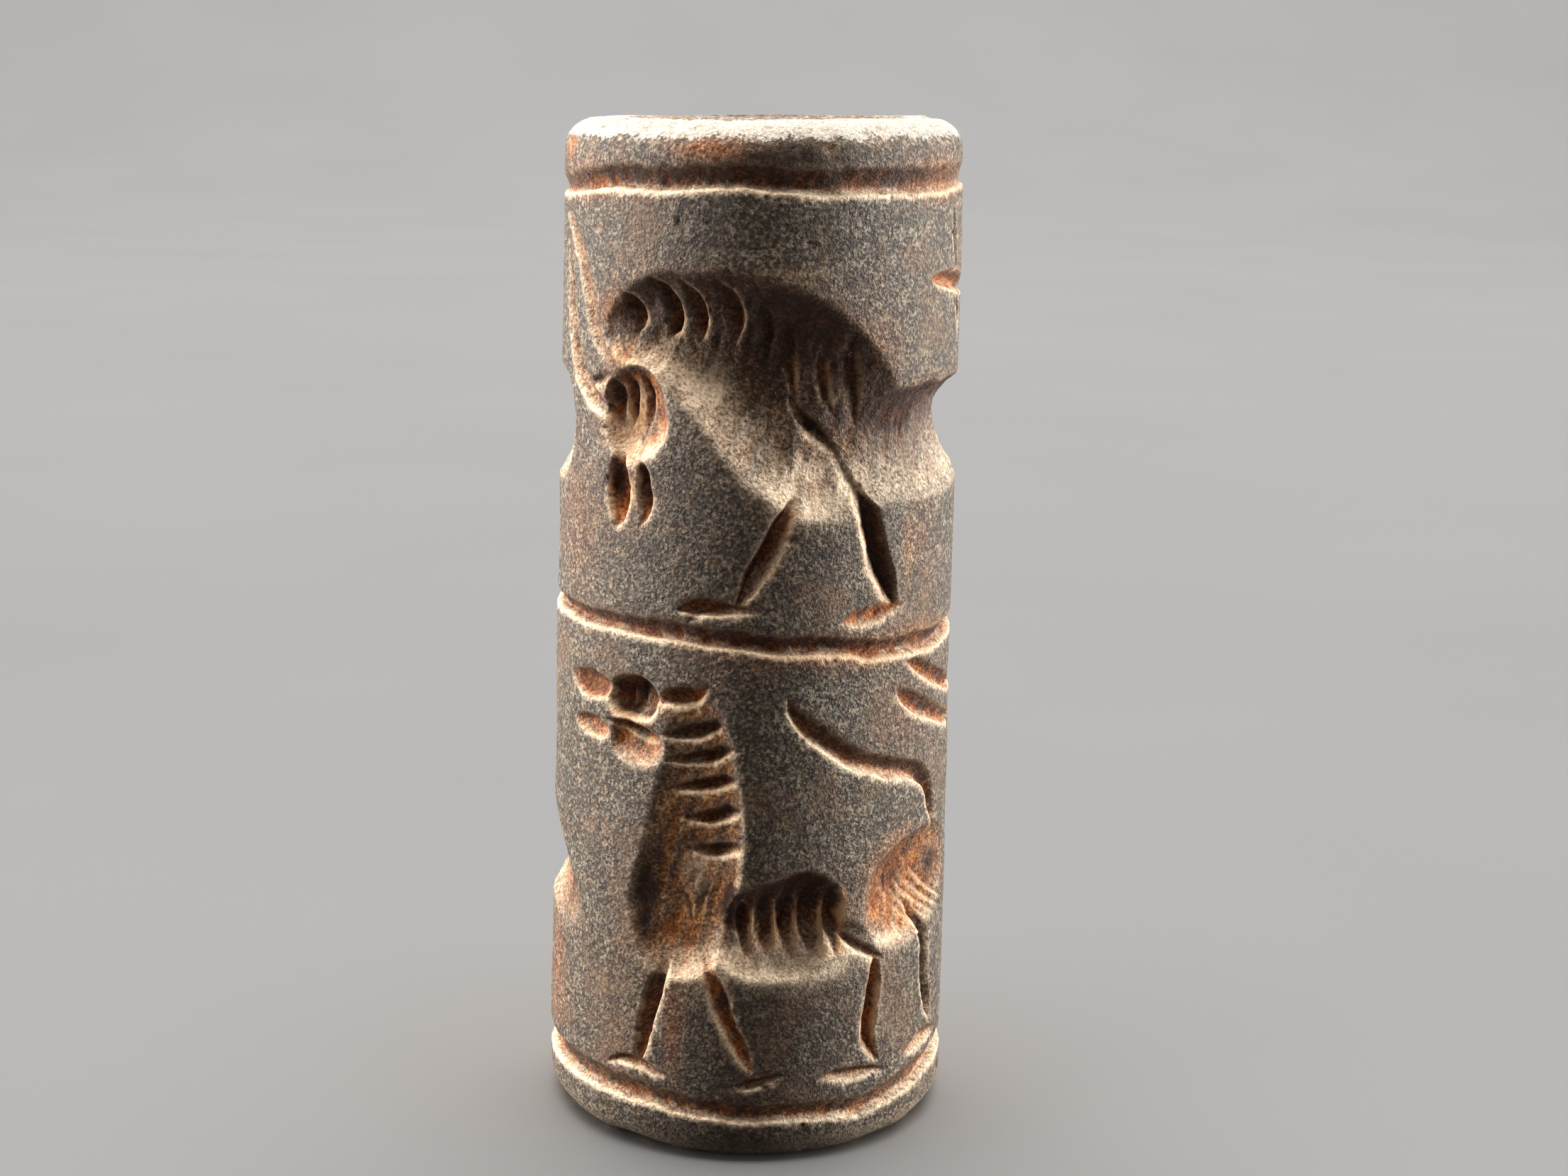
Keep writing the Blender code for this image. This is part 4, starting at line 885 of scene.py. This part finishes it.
class Finish:
    """A material built node by node."""

    def __init__(self, name):
        self.material = bpy.data.materials.new(name)
        self.material.use_nodes = True
        self.tree = self.material.node_tree
        self.shader = self.tree.nodes["Principled BSDF"]

    def node(self, kind, settings, *values, out=0, **named):
        """Adds a node: its settings first, then its sockets in order or by name."""
        node = self.tree.nodes.new(kind)
        for key, setting in settings.items():
            if key == "stops":
                self.fill_ramp(node.color_ramp, setting)
            else:
                setattr(node, key, setting)
        sockets = [(node.inputs[k], value) for k, value in enumerate(values)]
        sockets += [(node.inputs[key.replace("_", " ")], value) for key, value in named.items()]
        for socket, value in sockets:
            self.feed(socket, value)
        return Value(self, node.outputs[out])

    def feed(self, socket, value):
        if isinstance(value, Value):
            self.tree.links.new(value.socket, socket)
        else:
            socket.default_value = value

    @staticmethod
    def fill_ramp(ramp, stops):
        while len(ramp.elements) > 1:
            ramp.elements.remove(ramp.elements[-1])
        for k, (position, colour) in enumerate(stops):
            element = ramp.elements[0] if k == 0 else ramp.elements.new(position)
            element.position = position
            element.color = (*colour, 1.0)

    def attribute(self, name):
        return self.node("ShaderNodeAttribute", {"attribute_name": name}, out="Fac")

    def place(self):
        """Position on the piece in millimetres."""
        spot = self.node("ShaderNodeTexCoord", {}, out="Object")
        return self.node("ShaderNodeVectorMath", {"operation": "SCALE"}, spot, Scale=1 / MM)

    def noise(self, spot, scale, detail, coarse):
        return self.node("ShaderNodeTexNoise", {}, Vector=spot, Scale=scale, Detail=detail,
                         Roughness=coarse, out="Fac")

    def cells(self, spot, scale):
        return self.node("ShaderNodeTexVoronoi", {}, Vector=spot, Scale=scale, out="Color")

    def mix(self, share, first, second, blend="MIX"):
        """Blends two colours; a Mix node has sockets of its own for each type of data."""
        settings = {"data_type": "RGBA", "blend_type": blend, "clamp_factor": True}
        node = self.tree.nodes.new("ShaderNodeMix")
        for key, setting in settings.items():
            setattr(node, key, setting)
        in_share, in_first, in_second, out_colour = 0, 6, 7, 2
        self.feed(node.inputs[in_share], share)
        for k, colour in ((in_first, first), (in_second, second)):
            self.feed(node.inputs[k], colour if isinstance(colour, Value) else (*colour, 1.0))
        return Value(self, node.outputs[out_colour])

    def ramp(self, share, *stops):
        return self.node("ShaderNodeValToRGB", {"stops": stops}, share)

    def surface(self, **sockets):
        for key, value in sockets.items():
            self.feed(self.shader.inputs[key.replace("_", " ")], value)


# ------------------------------------------------------------------ finishes

def dark_stone_finish():
    """Dark speckled stone: worn pale on its edges and earth left in the cuts, with painted shade on the cuts'
    floors and downward faces and painted highlight on their upward faces.
    """
    f = Finish("dark_speckled_stone")
    spot = f.place()
    lip, bed, ledge, roof = (f.attribute(name) for name in ("lip", "bed", "ledge", "roof"))
    shade, apron, cut, wall = (f.attribute(name) for name in ("shade", "apron", "cut", "wall"))
    rust, ochre, soot, dim = (f.attribute(name) for name in ("rust", "ochre", "soot", "dim"))
    pale, worn_top, worn_foot = (f.attribute(name) for name in ("pale", "worn_top", "worn_foot"))

    grain = f.node("ShaderNodeSeparateColor", {}, f.cells(spot, 10.5))
    second = f.node("ShaderNodeSeparateColor", {}, f.cells(spot, 7.0))
    mottle = f.noise(spot, 1.3, 4.0, 0.65)
    patch = f.noise(spot, 0.30, 3.0, 0.6)
    fine = f.noise(spot, 8.0, 3.0, 0.7)
    clump = f.noise(spot, 2.6, 3.0, 0.6)
    tint = f.noise(spot, 1.9, 4.0, 0.7)

    speck = grain * 0.23 + second * 0.23 + (fine - 0.5) * 1.4 + (clump - 0.5) * 0.5 + 0.27
    stone = f.ramp(speck, (0.25, (0.005, 0.003, 0.002)), (0.41, (0.024, 0.015, 0.010)),
                   (0.50, (0.062, 0.044, 0.029)), (0.60, (0.132, 0.100, 0.068)),
                   (0.70, (0.220, 0.178, 0.130)), (0.88, (0.33, 0.28, 0.21)))
    stone = f.mix(tint.over(0.44, 0.62) * 0.8, stone, (1.04, 0.86, 0.70), blend="MULTIPLY")
    stone = f.mix((1.0 - tint).over(0.50, 0.66) * 0.7, stone, (0.86, 0.97, 1.0), blend="MULTIPLY")
    stone = f.mix(mottle.over(0.42, 0.66) * 0.55, stone, (0.017, 0.010, 0.006))
    stone = f.mix(patch.over(0.50, 0.70) * speck * 0.8, stone, (0.17, 0.080, 0.036))
    # painted shade: the stone darkened nearly to black where the dimming mark lies, on the lower front, along
    # the foot and beside figures
    stone = f.mix((dim * (0.7 + 0.6 * mottle)).held(), stone, (0.012, 0.007, 0.004))

    deep_rust = f.ramp(speck, (0.20, (0.090, 0.018, 0.005)), (0.45, (0.20, 0.052, 0.011)),
                       (0.65, (0.37, 0.118, 0.028)), (0.85, (0.50, 0.21, 0.06)))
    khaki = f.ramp(speck, (0.20, (0.065, 0.024, 0.006)), (0.45, (0.20, 0.078, 0.017)),
                   (0.65, (0.40, 0.180, 0.048)), (0.85, (0.60, 0.36, 0.14)))
    # cream, for worn pale earth and for painted highlight
    cream = f.mix(speck.over(0.2, 0.7), (0.42, 0.28, 0.17), (0.76, 0.59, 0.42))
    cream = f.mix((rust * 0.3).held(), cream, (0.70, 0.42, 0.22))
    # near black and dark brown, the colours that painted shade turns the stone
    black = f.ramp(speck, (0.25, (0.005, 0.002, 0.001)), (0.55, (0.022, 0.006, 0.002)),
                   (0.85, (0.09, 0.028, 0.011)))
    brown = f.ramp(speck, (0.25, (0.014, 0.005, 0.003)), (0.55, (0.056, 0.025, 0.015)),
                   (0.85, (0.18, 0.095, 0.055)))

    colour = f.mix((ochre * (0.4 + fine) * 1.2).held(), stone, khaki)
    colour = f.mix((rust * (0.6 + 0.4 * bed) * fine.over(0.1, 0.5) * 1.4).held(), colour, deep_rust)
    # painted highlight: the lower, upward-facing slopes of hollows turned cream; where the pale mark lies the
    # cream is partly worn earth and partly painted highlight
    highlight_and_cream = (apron * 1.6 + pale).held() * (fine + pale * 0.25).over(0.25, 0.6) * (1.0 - dim)
    highlight_and_cream = highlight_and_cream * (1.0 + pale * 0.4 - rust * 0.4 - ochre * 0.6).held()
    colour = f.mix(highlight_and_cream * (1.0 - mottle.over(0.42, 0.62) * 0.6), colour, cream)
    # painted shade: downward faces and the upper parts of hollows turned dark brown
    dark = (roof * 1.4 + shade * 4.0).held() * (1.0 - rust * 0.6 - ochre * 0.5).held()
    colour = f.mix(dark * (1.0 - lip * 0.9), colour, brown)
    # painted shade: the floors of lines, downward and sideways faces and the laid shade marks turned near
    # black
    painted_shade_share = soot * 1.3 * (1.0 - pale * 0.8)
    shaded = (roof * 0.7 + wall * 0.4 + cut * 0.5 - ledge - pale).held() * (1.0 - rust * 0.8)
    colour = f.mix((painted_shade_share + shaded).held() * (1.0 - lip * (0.9 - soot * 0.6)), colour, black)
    # painted highlight: upward-facing ledges turned cream
    lit = (ledge * (0.5 - rust * 0.4 - soot * 0.5) * fine.over(0.2, 0.6)).held()
    colour = f.mix(lit, colour, cream)
    tan = f.mix(rust, cream, (0.56, 0.33, 0.17))
    # worn lips turned tan; as the lip mark favours lower lips that face up, this is partly painted highlight
    edge = (lip * 1.2 * (0.4 + rust + ochre + worn_top) * fine.over(0.1, 0.45)).held()
    colour = f.mix(edge * (0.95 - soot * 1.1).held(), colour, tan)
    chalk = f.mix(fine.over(0.3, 0.75), (0.19, 0.155, 0.12), (0.42, 0.38, 0.33))
    chalky = worn_top + (fine - 0.5) * 1.5 + (mottle - 0.5) * 1.5
    colour = f.mix(chalky.over(0.35, 0.65), colour, chalk)
    earth = f.mix(fine.over(0.3, 0.75), (0.10, 0.070, 0.045), (0.38, 0.28, 0.19))
    colour = f.mix((worn_foot + (fine - 0.5) * 1.6).over(0.45, 0.8) * (0.7 - dim * 0.5), colour, earth)

    height = fine * 0.062 + speck * 0.020 + f.noise(spot, 2.5, 3.0, 0.6) * 0.02
    bump = f.node("ShaderNodeBump", {}, Strength=1.0, Distance=MM, Height=height)
    f.surface(Base_Color=colour, Roughness=0.48 + 0.2 * fine + rust * 0.2 + dim * 0.25, Normal=bump)
    f.shader.inputs["Specular IOR Level"].default_value = 0.34
    f.shader.inputs["Specular Tint"].default_value = (1.0, 0.85, 0.75, 1.0)
    return f.material


def pale_paper_finish():
    f = Finish("pale_backdrop_paper")
    spot = f.place()
    tone = f.noise(spot, 0.02, 2.0, 0.5)
    f.surface(Base_Color=f.mix(tone, (0.60, 0.59, 0.58), (0.66, 0.65, 0.64)), Roughness=0.85)
    return f.material


# ------------------------------------------------------------------ the piece and its setting

def carved_stone():
    rows, angle, sunk, stains_and_shading = stone_fields()
    stone = thinned(net_mesh(rows, angle, sunk))
    lay_out(stone, rows, stains_and_shading)
    stone.data.shade_smooth()
    stone.data.materials.append(dark_stone_finish())
    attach(stone, "root")
    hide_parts(NODE)
    return stone


def backdrop():
    """A pale sheet that lies flat under the seal and curves up behind it."""
    width, front, back, bend, rise = 1.6, -0.8, 0.55, 0.35, 0.9
    outline = [(front, 0.0), (back, 0.0)]
    for k in range(1, 13):
        angle = math.pi / 2 * k / 12
        outline.append((back + bend * math.sin(angle), bend * (1 - math.cos(angle))))
    outline.append((back + bend, rise))
    points = [(x, y, z) for y, z in outline for x in (-width, width)]
    faces = [(2 * k, 2 * k + 1, 2 * k + 3, 2 * k + 2) for k in range(len(outline) - 1)]
    mesh = bpy.data.meshes.new("backdrop")
    mesh.from_pydata(points, [], faces)
    mesh.shade_smooth()
    mesh.materials.append(pale_paper_finish())
    sheet = bpy.data.objects.new("backdrop", mesh)
    bpy.context.scene.collection.objects.link(sheet)
    return sheet


def soft_light(name, place, target, size, strength, colour, lit):
    """A softbox that lights only the given object; at strength 1 a white card there looks white."""
    reach = (Vector(target) - Vector(place)).length
    lamp = bpy.data.lights.new(name, "AREA")
    lamp.shape = "RECTANGLE"
    lamp.size, lamp.size_y = size
    lamp.energy = strength * (math.pi * reach) ** 2
    lamp.color = colour
    light = bpy.data.objects.new(name, lamp)
    bpy.context.scene.collection.objects.link(light)
    way = (Vector(target) - Vector(place)).normalized()
    light.matrix_world = Matrix.Translation(place) @ way.to_track_quat("-Z", "Y").to_matrix().to_4x4()
    receivers = bpy.data.collections.new(name + "_lights")
    receivers.objects.link(lit)
    light.light_linking.receiver_collection = receivers


def lighting(stone, sheet):
    """A strong soft light from above, a softbox at each side and very little from the front."""
    middle = (0.0, 0.0, HEIGHT / 2 * MM)
    soft_light("overhead", (-0.05, 0.02, 0.25), middle, (0.13, 0.13), 4.0, (1.0, 0.97, 0.92), stone)
    soft_light("left_side", (-0.20, 0.03, 0.055), middle, (0.10, 0.16), 4.0, (0.98, 1.0, 1.0), stone)
    soft_light("right_side", (0.20, 0.03, 0.065), middle, (0.10, 0.16), 4.0, (0.96, 1.0, 1.01), stone)
    soft_light("floor_light", (0.0, 0.25, 1.1), (0.0, 0.25, 0.0), (1.2, 1.2), 0.9, (1.0, 1.0, 1.0), sheet)
    world = bpy.data.worlds.new("studio")
    bpy.context.scene.world = world
    world.use_nodes = True
    air = world.node_tree.nodes["Background"]
    air.inputs["Color"].default_value = (1.0, 1.0, 1.0, 1.0)
    air.inputs["Strength"].default_value = 0.12
    bpy.context.scene.view_settings.view_transform = "Standard"


def camera():
    """Close by, a little above the upper end and looking down, with a slight roll."""
    pitch, roll = 0.2154, 0.0243
    place = Vector((1.1235, -88.993, HEIGHT + 1.4555)) * MM
    ahead = Vector((0.0, math.cos(pitch), -math.sin(pitch)))
    level = Vector((1.0, 0.0, 0.0))
    above = level.cross(ahead)
    right = level * math.cos(roll) + above * math.sin(roll)
    over = above * math.cos(roll) - level * math.sin(roll)
    lens = bpy.data.cameras.new("camera")
    lens.sensor_width = 36.0
    lens.lens = 53.707
    lens.clip_start = 0.005
    viewer = bpy.data.objects.new("camera", lens)
    bpy.context.scene.collection.objects.link(viewer)
    axes = Matrix((right, over, -ahead)).transposed().to_4x4()
    viewer.matrix_world = Matrix.Translation(place) @ axes
    bpy.context.scene.camera = viewer


camera()
lighting(carved_stone(), backdrop())
